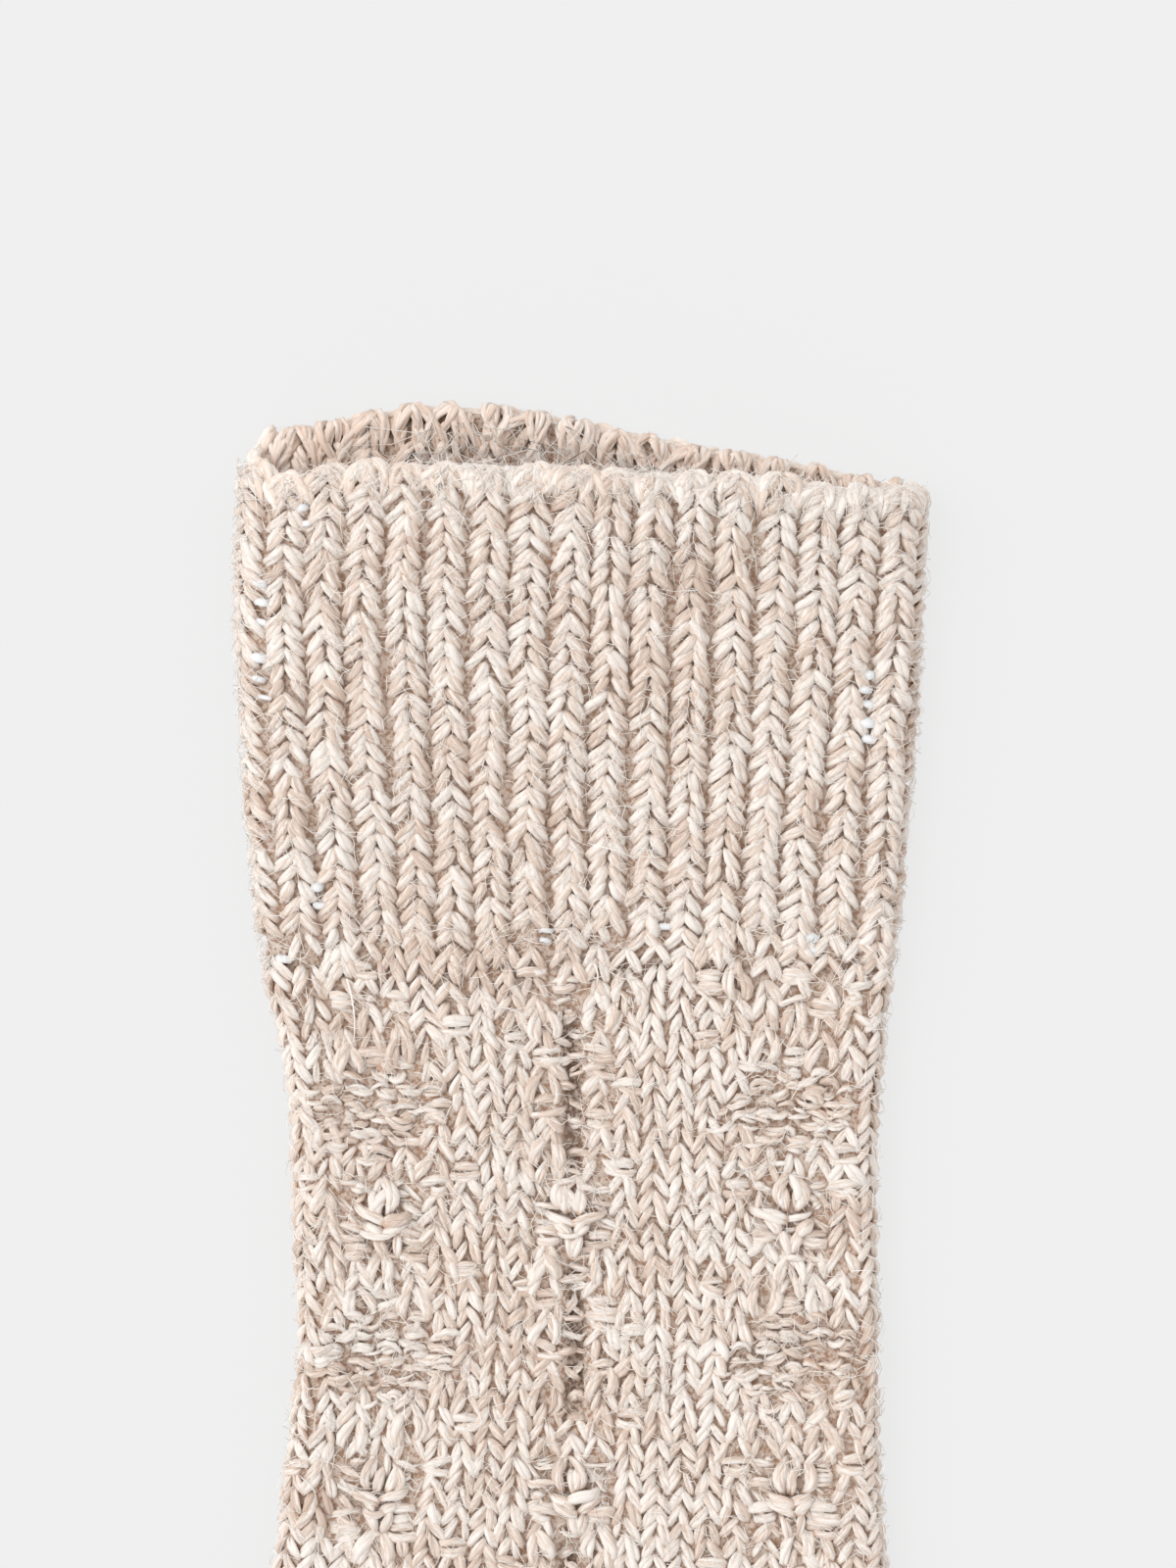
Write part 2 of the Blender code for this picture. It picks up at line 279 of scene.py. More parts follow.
# Painted light: the yarn in the shaded mouth is painted paler, with less taupe and painted shade
mouth_painted_light_yarn = yarn_finish("mouth_melange_painted_light", 1.07, 0.25)
ground = ground_finish("ground_loops")

# ---- The ribbed cuff -------------------------------------------------------------------------
# One by one rib, knitted in the round from the rim down and pressed flat. Every plain stitch is a
# pair of plump legs that lean together towards the rim, and the ribs stand over narrow grooves.
# Sizes of the cloth in millimetres, distances round the tube as a share of the way round
MM = 0.001
WALL = 2.6
LAYER_GAP = 0.5
SEAM_GAP = 0.3
EDGE_RADIUS = WALL + LAYER_GAP / 2
CUFF_LENGTH = 66.3
MOUTH_LIFT = 9.0
MOUTH_DEPTH = 55.0
MOUTH_ROUND = 0.8
MOUTH_FALL = 1.5
RIBS = 34
RIB_PHASE = 0.25
RIB_HEIGHT = 1.1
RIB_FADE = 7.0
CUFF_ROW = 2.08
FEWEST_COURSES = 29
MORE_COURSES = 3
# Rings down the wall, and points of a ring on the face that shows and on the underside
CUFF_MESH = (25, 154, 24)
CUFF_FIRST = 0.95
GROUND_DEPTH = 0.10
GROUND_UP = 0.7
GROUND_DOWN = 1.25
UNDER_DEPTH = 0.9
SHOWN_ROUND = (-0.03, 0.53)
UNDER_ROUND = (0.53, 0.97)
USUAL_WIDTH = 80.0
UNDER_FACING, TOP_FACING = -0.75, -0.05
SHOWN_SHARE = 0.2
RESTING_GAP = 0.05
RESTING_RADII = 1.1
WALL_START = 0.6
LAP = 0.4
PLIES = 3
PLY_TWIST = -0.45
PLY_OFFSET = 0.44
PLY_RADIUS = 0.66
PLY_FLAT = 0.9
PLY_BOW = 0.30
PLY_VARIES = 0.12
STRAND_FLAT = 0.75
PLY_LIMITS = (0.7, 1.3)
# How much a stitch's width, lean, tilt and thickness vary, in shares of its looseness
WIDTH_VARIES, LEAN_VARIES, TILT_VARIES, THICK_VARIES = 2.0, 1.5, 2.5, 1.6
THICK_LIMITS = (0.7, 1.35)
GRAIN_SHIFT = 90.0
# How much of a strand's painted shade at its end shows at its start
START_TIP_SHADE = 0.35
BOTH = (-1, 1)
ONE = (1,)
# How strands are made: points along and round each, its plies and the stitches' looseness
RIB_WAY = (6, 5, PLIES, 0.045)
UNDER_WAY = (3, 3)

CUFF_ROWS = [
    # down, left, right
    (-6.0, -44.9, 45.9),
    (0.0, -45.2, 45.6),
    (15.6, -45.9, 45.0),
    (35.1, -45.1, 43.9),
    (52.0, -43.8, 42.5),
    (66.3, -42.4, 41.3),
    (74.3, -41.4, 40.2),
]
RIM_ROWS = [
    # round from the left edge over the front, reach past the front rim
    (0.00, 1.0),
    (0.03, -1.2),
    (0.07, 0.0),
    (0.12, 0.3),
    (0.19, 0.0),
    (0.25, -0.6),
    (0.36, -1.3),
    (0.46, -2.6),
    (0.50, -2.2),
    (0.54, -1.3),
    (0.60, 1.3),
    (0.66, 2.6),
    (0.72, 5.2),
    (0.76, 6.7),
    (0.83, 8.5),
    (0.89, 8.2),
    (0.93, 6.2),
    (0.97, 5.0),
    (1.00, 1.0),
]
RIB_SECTION = [
    # ribs from the crest, share of the rib's height on the front, height on the inside
    (0.00, 0.95, 0.75),
    (0.27, 0.80, 0.60),
    (0.50, 0.10, 0.00),
]
RIB_AWAY, RIB_FRONT, RIB_INSIDE = zip(*RIB_SECTION)
RIB_END = 0.5
# Painted shade in the grooves between the ribs: where it starts from the crest, and how strong
GROOVE_FROM = 0.36
GROOVE_SHADE = 0.14
STRAY_ASIDE = [
    # millimetres, waves round the tube, millimetres down it, start
    (0.26, 5, 11.7, 0.0),
    (0.16, 13, -7.1, 2.0),
    (0.07, 29, 3.3, 0.7),
]
STRAY_DOWN = [
    (0.24, 7, -9.9, 1.0),
    (0.18, 17, 4.3, 0.0),
    (0.14, 31, -3.9, 4.0),
]
# Every strand's shape: share of its length, across in ribs or wales, down in rows, height, radius
RIB_LEG = [
    (0.00, 0.00, -0.88, -0.40, 0.30),
    (0.20, 0.07, -0.57, 0.12, 0.68),
    (0.42, 0.16, -0.20, 0.30, 0.84),
    (0.64, 0.28, 0.17, 0.14, 0.84),
    (0.84, 0.385, 0.51, -0.22, 0.68),
    (1.00, 0.45, 0.82, -0.86, 0.36),
]


def curve(xs, ys, x):
    """Smooth values between table rows: a cubic through every row."""
    xs, ys = np.asarray(xs, float), np.asarray(ys, float)
    slopes = np.gradient(ys, xs)
    i = np.clip(np.searchsorted(xs, x) - 1, 0, len(xs) - 2)
    span = xs[i + 1] - xs[i]
    t = np.clip((x - xs[i]) / span, 0.0, 1.0)
    start = (1 + 2 * t) * (1 - t) ** 2 * ys[i] + t * (1 - t) ** 2 * span * slopes[i]
    return start + t * t * (3 - 2 * t) * ys[i + 1] - t * t * (1 - t) * span * slopes[i + 1]


def step(low, high, x):
    """0 below low, 1 above high, and smooth between them."""
    t = np.clip((x - low) / (high - low), 0.0, 1.0)
    return t * t * (3 - 2 * t)


class Stretch:
    """The outline of one stretch of the tube: its edges and their radius, by distance from the rim."""

    def __init__(self, rows, start, trim):
        self.edges = np.array([(*left, *right, radius) for left, right, radius in rows], float)
        middles = (self.edges[:, :2] + self.edges[:, 2:4]) / 2
        steps = np.linalg.norm(np.diff(middles, axis=0), axis=1)
        self.station = start + np.concatenate(([0.0], np.cumsum(steps)))
        self.trim = trim

    def at(self, station):
        """Left x and y, right x and y, and the edge radius, at distances from the rim."""
        return [curve(self.station, self.edges[:, i], station) for i in range(5)]

    def round_at(self, x, station):
        """The place round the tube of a point of its upper face, by its distance across."""
        left_x, _, right_x, _, radius = self.at(station)
        flat = right_x - left_x - 2 * self.trim - 2 * radius
        walk = x - (left_x + right_x) / 2 + flat / 2 + math.pi * radius / 2
        return walk / (2 * (flat + math.pi * radius))

    def girth(self, station):
        """The way round the tube at a distance from the rim."""
        left_x, left_y, right_x, right_y, radius = self.at(station)
        width = np.hypot(right_x - left_x, right_y - left_y) - 2 * self.trim
        return 2 * (width - 2 * radius + math.pi * radius)


def ring_place(around, width, radius):
    """Points of the flattened tube's section: across, up, and the outward direction across and up."""
    flat = width - 2 * radius
    bend = math.pi * radius
    walk = (around % 1.0) * 2 * (flat + bend) - bend / 2
    walk = np.where(walk < 0, walk + 2 * (flat + bend), walk)
    right_turn = math.pi / 2 - (walk - flat) / radius
    left_turn = -math.pi / 2 - (walk - 2 * flat - bend) / radius
    places = (walk < flat, walk < flat + bend, walk < 2 * flat + bend)
    turn = np.select(places, (math.pi / 2, right_turn, -math.pi / 2), left_turn)
    centre = np.select(places, (walk - flat / 2, flat / 2, flat / 2 - (walk - flat - bend)), -flat / 2)
    return centre + radius * np.cos(turn), radius * np.sin(turn), np.cos(turn), np.sin(turn)


def lay(stretch, around, station, height):
    """Points of the cloth in millimetres, height above its base surface, and its outward direction."""
    left_x, left_y, right_x, right_y, radius = stretch.at(station)
    width = np.hypot(right_x - left_x, right_y - left_y)
    way_x, way_y = (right_x - left_x) / width, (right_y - left_y) / width
    width = width - 2 * stretch.trim
    across, up, out_across, out_up = ring_place(around, width, radius)
    share = 2 * across / width
    arch = MOUTH_LIFT * np.maximum(1 - share * share, 0) ** MOUTH_ROUND * step(-radius, radius, up)
    lift = arch * np.maximum(1 - station / MOUTH_DEPTH, 0) ** MOUTH_FALL
    rounds, reaches = zip(*RIM_ROWS)
    reach = curve(rounds, reaches, around % 1.0) * np.clip(1 - station / CUFF_LENGTH, 0, 1)
    x = (left_x + right_x) / 2 + way_x * (across + out_across * height)
    y = (left_y + right_y) / 2 + way_y * (across + out_across * height) + reach
    points = np.stack((x, y, EDGE_RADIUS + up + out_up * height + lift), -1)
    return points, np.stack((way_x * out_across, way_y * out_across, out_up), -1)


def topside(around):
    """1 on the front and the side edges, 0 on the underside that lies on the surface."""
    return step(UNDER_FACING, TOP_FACING, ring_place(around, USUAL_WIDTH, EDGE_RADIUS)[3])


def on_top(around):
    """Whether a stitch is on the face that shows from above."""
    return topside(np.asarray(around, float)) > SHOWN_SHARE


def stray(waves, around, station):
    """Millimetres that the stitches stray, slowly from place to place."""
    turn = 2 * math.pi * around
    return sum(reach * np.sin(count * turn + station / length + start)
               for reach, count, length, start in waves)


def level_cloth(around, station):
    """Cloth with no relief of its own, and no part of it sunk."""
    return np.zeros(np.shape(around))


def ground_level(around, station, rise):
    """Height of the ground under the stitches, deeper on the underside."""
    top, relief = topside(around), rise(around, station)
    shown = np.where(relief > 0, GROUND_UP * relief, GROUND_DOWN * relief) - GROUND_DEPTH
    return shown * top - UNDER_DEPTH * (1 - top)


def settle(around, level, thick):
    """Heights of strands, with those of the underside pressed up into the cloth by the surface."""
    top = topside(around)
    return level * top + (1 - top) * np.minimum(level, -(RESTING_RADII * thick + RESTING_GAP))


def ring_rounds(upper, under):
    """Places round the tube, close on the face that shows and wide on the underside."""
    spans = ((*SHOWN_ROUND, upper), (*UNDER_ROUND, under))
    return np.concatenate([np.linspace(*span, endpoint=False) for span in spans])


def wall_faces(rings, count, closed):
    """Faces of a tube's outside and inside, with a band or a flat end between them at each end."""
    k = np.arange(count)
    ring = np.arange(rings - 1)[:, None] * count
    first, after = (ring + k).ravel(), (ring + (k + 1) % count).ravel()
    outside = np.stack((first + count, after + count, after, first), -1)
    inner = rings * count
    band = np.stack((k, (k + 1) % count, (k + 1) % count + inner, k + inner), -1)
    faces = np.concatenate((outside, outside[:, ::-1] + inner, band)).tolist()
    last = (rings - 1) * count
    if closed:
        return faces + [(last + k).tolist()[::-1], (last + inner + k).tolist()]
    return faces + (band[:, ::-1] + last).tolist()


def store(mesh, name, values):
    """Keeps a value or a vector on every point of a mesh."""
    kind, key = ("FLOAT_VECTOR", "vector") if values.ndim == 2 else ("FLOAT", "value")
    stored = mesh.attributes.new(name, kind, "POINT")
    stored.data.foreach_set(key, values.astype(np.float32).ravel())


def ground_shell(name, stretch, span, counts, rise, sink=level_cloth, closed=False):
    """The tube's own wall: a closed sheet of the ground between its outside and its inside."""
    stations = np.linspace(*span, counts[0])
    around, station = np.meshgrid(ring_rounds(*counts[1:]), stations)
    inner_station = np.minimum(station, stations[-1] - WALL) if closed else station
    outer, _ = lay(stretch, around, station, ground_level(around, station, rise))
    inner, _ = lay(stretch, around, inner_station, np.full(around.shape, -WALL))
    points = np.concatenate((outer.reshape(-1, 3), inner.reshape(-1, 3))) * MM + RIM_MIDDLE
    mesh = bpy.data.meshes.new(name)
    mesh.from_pydata(points.tolist(), [], wall_faces(*around.shape, closed))
    mesh.materials.append(ground)
    mesh.shade_smooth()
    # Where the ground takes its darkest painted shade
    store(mesh, "hollow_shade", np.concatenate((sink(around, station).ravel(), np.zeros(around.size))))
    return put(name, mesh)


def frames_along(points, outward):
    """Sideways and upward directions at every point of many strands, carried along without a twist."""
    along = np.gradient(points, axis=1)
    along /= np.linalg.norm(along, axis=-1, keepdims=True)
    side = np.cross(along[:, 0], outward[:, 0])
    sideways = []
    for i in range(points.shape[1]):
        side = side - (side * along[:, i]).sum(-1, keepdims=True) * along[:, i]
        side = side / np.linalg.norm(side, axis=-1, keepdims=True)
        sideways.append(side)
    sideways = np.stack(sideways, 1)
    return sideways, np.cross(sideways, along)


def wind_ply(thick, turn, share_along, sideways, upward, twisted):
    """How far each point of one ply's middle lies from its strand's middle, and the ply's radius."""
    count = len(thick)
    offset, share = (PLY_OFFSET, PLY_RADIUS) if twisted else (0.0, 1.0)
    bow = 1 + PLY_BOW * np.sin(math.pi * share_along + dice.uniform(0, 2 * math.pi, (count, 1)))
    reach = offset * thick * dice.normal(1, PLY_VARIES, (count, 1)) * bow
    lean = np.cos(turn)[..., None] * sideways + STRAND_FLAT * np.sin(turn)[..., None] * upward
    radius = share * thick * np.clip(dice.normal(1, PLY_VARIES, (count, 1)), *PLY_LIMITS)
    return reach[..., None] * lean, radius


def sweep_strands(stretch, around, station, height, thick, sides, plies=1):
    """Rings of points round many strands of yarn, a bundle for each of the yarn's twisted plies."""
    points, outward = lay(stretch, around, station, height)
    sideways, upward = frames_along(points, outward)
    steps = np.linalg.norm(np.diff(points, axis=1), axis=-1)
    count = len(points)
    length = np.concatenate((np.zeros((count, 1)), np.cumsum(steps, axis=1)), axis=1)
    angle = 2 * math.pi * (np.arange(sides) + 0.5) / sides
    turned = angle[None, None, :] + PLY_TWIST * length[..., None]
    circle = (np.cos(angle)[:, None] * sideways[..., None, :]
              + PLY_FLAT * np.sin(angle)[:, None] * upward[..., None, :])
    run = np.repeat(length[..., None], sides, axis=-1)
    phase = dice.uniform(0, 2 * math.pi, (count, 1))
    bundles = []
    for ply in range(plies):
        turn = phase + 2 * math.pi * ply / plies + PLY_TWIST * length
        aside, radius = wind_ply(thick, turn, length / length[:, -1:], sideways, upward, plies > 1)
        surface = (points + aside)[..., None, :] + radius[..., None, None] * circle
        skin = radius[..., None]
        grain = np.stack((skin * np.cos(turned), skin * np.sin(turned), run), -1)
        raised = ((surface - points[..., None, :]) * upward[..., None, :]).sum(-1) / thick[..., None]
        # With how low each point lies round its strand, 0 on top and 1 underneath, which places painted shade
        bundles.append((surface, grain, 0.5 - 0.5 * raised))
    return bundles


class Knitting:
    """How stitches lie on one stretch: the width of a wale, the height of a row and their fineness."""

    def __init__(self, stretch, wales, row, rise, rings, sides, plies=1, loose=0.06, inside=False):
        self.stretch, self.wales, self.row, self.rise = stretch, wales, row, rise
        self.rings, self.sides, self.plies = rings, sides, plies
        self.loose, self.inside = loose, inside

    def strands(self, table, hands, spots):
        """Strands of one shape at many stitches, each a little different, and mirrored for hand -1."""
        at_round, at_down = np.asarray(spots, float).T
        columns = [np.array(column, float) for column in zip(*table)]
        shares = np.linspace(0, 1, self.rings)
        across, down, height, thick = [curve(columns[0], column, shares) for column in columns[1:]]
        girth = self.stretch.girth(at_down)
        aside, lower = [stray(waves, at_round, at_down) for waves in (STRAY_ASIDE, STRAY_DOWN)]

        def vary(share=1.0):
            return dice.normal(0, share * self.loose, (len(at_round), 1))

        bundles = []
        for hand in hands:
            widen, lean = hand * (1 + vary(WIDTH_VARIES)), vary(LEAN_VARIES)
            off = across * widen + down * lean + vary()
            tilt = vary(TILT_VARIES)
            fall = down * (1 + vary()) + across * tilt + vary()
            around = (at_round + aside / girth)[:, None] + off / self.wales
            station = (at_down + lower)[:, None] + fall * self.row
            radius = thick * np.clip(1 + vary(THICK_VARIES), *THICK_LIMITS)
            level = height + vary() + self.rise(around, station)
            level = -WALL - level if self.inside else settle(around, level, radius)
            swept = sweep_strands(self.stretch, around, station, level, radius, self.sides, self.plies)
            course = np.stack((at_round * girth, at_down), -1)
            bundles += [(*strand, course) for strand in swept]
        return bundles


# Where a strand lies in its cell of the map: its skin below, and its two ends above it
SKIN_CORNER, SKIN_SIZE = (0.06, 0.04), (0.88, 0.72)
END_MIDDLES, END_LEVEL, END_RADII = (0.27, 0.73), 0.88, (0.08, 0.07)


def unrolled(strands, first, total, rings, sides):
    """Map of every strand unrolled in its own cell of a square grid."""
    cells = math.ceil(math.sqrt(total))
    index = first + np.arange(strands)
    corner = np.stack((index % cells, index // cells), -1) / cells
    k, ring = np.arange(sides), np.arange(rings - 1)
    u = SKIN_CORNER[0] + SKIN_SIZE[0] * np.stack((k, k + 1, k + 1, k), -1) / sides
    v = SKIN_CORNER[1] + SKIN_SIZE[1] * np.stack((ring, ring, ring + 1, ring + 1), -1) / (rings - 1)
    u, v = np.broadcast_arrays(u[None, :, :], v[:, None, :])
    skin = corner[:, None, :] + np.stack((u, v), -1).reshape(1, -1, 2) / cells
    angle = 2 * math.pi * k / sides
    places = [skin.reshape(-1)]
    for middle in END_MIDDLES:
        end = (middle + END_RADII[0] * np.cos(angle), END_LEVEL + END_RADII[1] * np.sin(angle))
        places.append((corner[:, None, :] + np.stack(end, -1)[None] / cells).reshape(-1))
    return places


def strand_faces(first, rings, sides):
    """The corners of many strands' faces, skin first and then the two ends, and each face's count."""
    ring = first + np.arange(rings - 1)[None, :, None] * sides
    k = np.arange(sides)[None, None, :]
    after = (k + 1) % sides
    skin = np.stack((ring + k, ring + after, ring + sides + after, ring + sides + k), -1)
    near = first[:, 0] + np.arange(sides)[::-1]
    far = first[:, 0] + (rings - 1) * sides + np.arange(sides)
    corners = (skin.reshape(-1), near.reshape(-1), far.reshape(-1))
    return corners, (np.full(skin.size // 4, 4), np.full(2 * len(first), sides))


def smooth_mesh(name, points, corners, sizes):
    """A smooth mesh of points in millimetres, from its faces' corners and how many each has."""
    mesh = bpy.data.meshes.new(name)
    mesh.vertices.add(len(points))
    mesh.vertices.foreach_set("co", (points * MM + RIM_MIDDLE).astype(np.float32).ravel())
    mesh.loops.add(len(corners))
    mesh.loops.foreach_set("vertex_index", corners.astype(np.int32))
    mesh.polygons.add(len(sizes))
    starts = np.concatenate(([0], np.cumsum(sizes)[:-1]))
    mesh.polygons.foreach_set("loop_start", starts.astype(np.int32))
    mesh.polygons.foreach_set("use_smooth", np.ones(len(sizes), bool))
    mesh.update(calc_edges=True)
    return mesh


def strand_mesh(name, bundles, finish):
    """One mesh of closed strands. A bundle holds rings of points, their grain, lowness and course."""
    total = sum(len(bundle[0]) for bundle in bundles)
    points, corners, sizes, places = [], [], [], []
    stored = {"grain": [], "course": [], "tip": [], "low": []}
    done = 0
    for surface, grain, low, course in bundles:
        strands, rings, sides, _ = surface.shape
        own = np.zeros(surface.shape)
        own[..., :2] = course[:, None, None, :]
        own[..., 2] = dice.uniform(0, 1, (strands, 1, 1))
        # Painted shade towards each end of a strand, weaker at its start
        from_middle = np.linspace(-1, 1, rings)
        tip = from_middle ** 2 * np.where(from_middle < 0, START_TIP_SHADE, 1.0)
        stored["grain"].append((grain + dice.uniform(0, GRAIN_SHIFT, (strands, 1, 1, 3))).reshape(-1, 3))
        stored["course"].append(own.reshape(-1, 3))
        stored["tip"].append(np.broadcast_to(tip[None, :, None], low.shape).reshape(-1))
        stored["low"].append(low.reshape(-1))
        first = sum(map(len, points)) + np.arange(strands)[:, None, None] * rings * sides
        faces, counts = strand_faces(first, rings, sides)
        points.append(surface.reshape(-1, 3))
        corners.extend(faces)
        sizes.extend(counts)
        places.extend(unrolled(strands, done, total, rings, sides))
        done += strands
    mesh = smooth_mesh(name, *map(np.concatenate, (points, corners, sizes)))
    for key, values in stored.items():
        store(mesh, key, np.concatenate(values))
    strand_map = mesh.uv_layers.new(name="OFBake")
    strand_map.data.foreach_set("uv", np.concatenate(places).astype(np.float32))
    mesh.materials.append(finish)
    return put(name, mesh)


def attach(slot, *pieces):
    """The pieces move with the sock's one body. The slot is not used."""
    for piece in pieces:
        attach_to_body(piece, "root")


def dress(node, slot, shell, stretch, start, end, strands):
    """A stretch's wall stands for its solid, and its stitches lie on the wall."""
    attach(slot, shell, *strands)
    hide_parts(node)
    girth = float(np.mean(stretch.girth(np.linspace(start, end, 9)))) * MM
    (end - start) * MM


def from_crest(around, shift=0.0):
    """The way to the nearest rib's crest, in ribs."""
    phase = (around * RIBS - RIB_PHASE + shift) % 1.0
    return np.minimum(phase, 1 - phase)


def rib_rise(around, station):
    """The ribs' own height round the tube, lower where the cuff passes into the leg."""
    crest = RIB_HEIGHT * np.interp(from_crest(around), RIB_AWAY, RIB_FRONT)
    return crest * (1 - RIB_END * step(CUFF_LENGTH - RIB_FADE, CUFF_LENGTH, station))


def rib_groove_shade(around, station):
    """Painted shade in the narrow grooves between the ribs."""
    return GROOVE_SHADE * step(GROOVE_FROM, 0.5, from_crest(around))


dice = np.random.default_rng(11)
cuff_edges = [((left, -down), (right, -down), EDGE_RADIUS) for down, left, right in CUFF_ROWS]
CUFF = Stretch(cuff_edges, CUFF_ROWS[0][0], RIB_HEIGHT)
cuff_span = (WALL_START, CUFF_LENGTH + LAP)
cuff_ground = ground_shell("cuff_ground", CUFF, cuff_span, CUFF_MESH, rib_rise, rib_groove_shade)

rib_spots = []
for rib in range(RIBS):
    for course in range(FEWEST_COURSES + dice.integers(0, MORE_COURSES + 1)):
        rib_spots.append(((rib + RIB_PHASE) / RIBS, (course + CUFF_FIRST) * CUFF_ROW))
shown_ribs = Knitting(CUFF, RIBS, CUFF_ROW, rib_rise, *RIB_WAY)
under_ribs = Knitting(CUFF, RIBS, CUFF_ROW, rib_rise, *UNDER_WAY)
shown = shown_ribs.strands(RIB_LEG, BOTH, [spot for spot in rib_spots if on_top(spot[0])])
under = under_ribs.strands(RIB_LEG, BOTH, [spot for spot in rib_spots if not on_top(spot[0])])
cuff_ribs = strand_mesh("cuff_ribs", shown, yarn)
cuff_under = strand_mesh("cuff_ribs_under", under, yarn)

# ---- The rim and the mouth -------------------------------------------------------------------
# The cast-on edge is a soft roll of yarn with plump loops over it, one on every rib and one between.
# Inside the open mouth the back layer shows the ribs from their other side, under tufts at its rim.
# The strands of the rim and of the tufts have their way down in millimetres, not in rows
RIM_ARCH = [
    (0.00, -0.04, -0.75, -1.20, 0.62),
    (0.25, 0.15, -0.70, -0.55, 0.82),
    (0.50, 0.33, 0.05, 0.15, 0.92),
    (0.75, 0.43, 1.35, 0.40, 0.82),
    (1.00, 0.46, 3.20, -0.20, 0.34),
]
RIM_LOOP = [
    (0.00, 0.05, 3.6, -0.05, 0.34),
    (0.22, 0.03, 1.9, 0.50, 0.86),
    (0.44, 0.00, 0.4, 0.40, 1.05),
    (0.62, -0.03, -0.4, -0.70, 1.05),
    (0.80, -0.05, 0.2, -1.90, 0.90),
    (1.00, -0.06, 2.0, -2.60, 0.42),
]
RIM_HEART = [
    (0.00, 0.00, -0.70, -1.10, 0.60),
    (0.30, 0.02, -0.40, -0.30, 0.90),
    (0.60, 0.00, 0.50, 0.05, 0.95),
    (0.85, -0.02, 1.50, -0.05, 0.70),
    (1.00, 0.00, 2.30, -0.50, 0.34),
]
TUFT = [
    (0.00, 0.40, 4.6, -0.10, 0.30),
    (0.26, 0.38, 2.6, 0.70, 0.66),
    (0.54, 0.30, 0.6, 0.80, 0.84),
    (0.80, 0.14, -0.6, 0.10, 0.86),
    (1.00, 0.00, -0.9, -1.10, 0.60),
]
BETWEEN_TUFT = [
    (0.00, 0.02, 4.6, -0.10, 0.28),
    (0.40, 0.00, 2.2, 0.35, 0.72),
    (0.75, 0.00, 0.5, 0.30, 0.84),
    (1.00, 0.00, -0.1, -1.00, 0.56),
]
INNER_LOOP = [
    (0.00, 0.16, 2.6, 0.10, 0.30),
    (0.35, 0.14, 0.9, 1.00, 0.66),
    (0.70, 0.05, -0.4, 0.95, 0.70),
    (1.00, 0.00, -0.6, 0.10, 0.48),
]
CORNER_LOOP = [
    (0.00, 0.46, 2.6, -1.40, 0.34),
    (0.28, 0.42, 0.4, -1.00, 0.80),
    (0.56, 0.32, -1.2, -0.90, 1.00),
    (0.82, 0.14, -2.0, -1.10, 0.96),
    (1.00, 0.00, -2.2, -1.80, 0.60),
]
CORNER_PLACES = (0.984, 0.998, 0.012)
ROLL_DOWN = 0.9
ROLL_RADIUS = 1.15
ROLL_POINTS = 181
RIM_WAY = (7, 5, PLIES, 0.05)
INNER_WAY = (5, 4, PLIES, 0.06)
TUFT_WAY = (6, 4, PLIES, 0.06)
RIM_RISE = 0.45
RIM_RIB_SHARE = 0.40
CORNER_DOWN = (0.3, 1.9)
TUFT_DOWN = 0.6
INSIDE_FIRST = 1.6
INSIDE_COURSES = 6
INSIDE_LOW = 0.25
INSIDE_SIDES = (0.02, 0.10)
INSIDE_FROM = 0.51
INSIDE_TO = 0.99


def rim_rise(around, station):
    """The rim is raised on the ribs and a little between them."""
    return RIM_RIB_SHARE * rib_rise(around, station) + RIM_RISE


def inner_rise(around, station):
    """The ribs of the inside, kept low where the two layers lie close together."""
    from_side = np.minimum(np.abs(around % 1.0 - 0.5), np.abs(1 - around % 1.0))
    crest = np.interp(from_crest(around, 0.5), RIB_AWAY, RIB_INSIDE)
    return crest * step(*INSIDE_SIDES, from_side) - INSIDE_LOW


roll_round = np.linspace(0, 1, ROLL_POINTS)[None]
roll_station = np.full_like(roll_round, ROLL_DOWN)
roll_thick = np.full_like(roll_round, ROLL_RADIUS)
roll_level = settle(roll_round, np.full_like(roll_round, -WALL / 2), roll_thick)
roll = sweep_strands(CUFF, roll_round, roll_station, roll_level, roll_thick, 4, PLIES)
rim_bundles = [(*strand, np.zeros((1, 2))) for strand in roll]
rim_knitting = Knitting(CUFF, RIBS, 1.0, rim_rise, *RIM_WAY)
for table, hands, shift in ((RIM_ARCH, BOTH, 0), (RIM_LOOP, ONE, 0.5), (RIM_HEART, ONE, 0)):
    rim_spots = [((rib + RIB_PHASE + shift) / RIBS, ROLL_DOWN) for rib in range(RIBS)]
    rim_bundles += rim_knitting.strands(table, hands, rim_spots)
corner_spots = [(around, down) for around in CORNER_PLACES for down in CORNER_DOWN]
rim_bundles += rim_knitting.strands(CORNER_LOOP, BOTH, corner_spots)
# The rim takes the yarn painted paler as light
cuff_rim = strand_mesh("cuff_rim", rim_bundles, rim_painted_light_yarn)

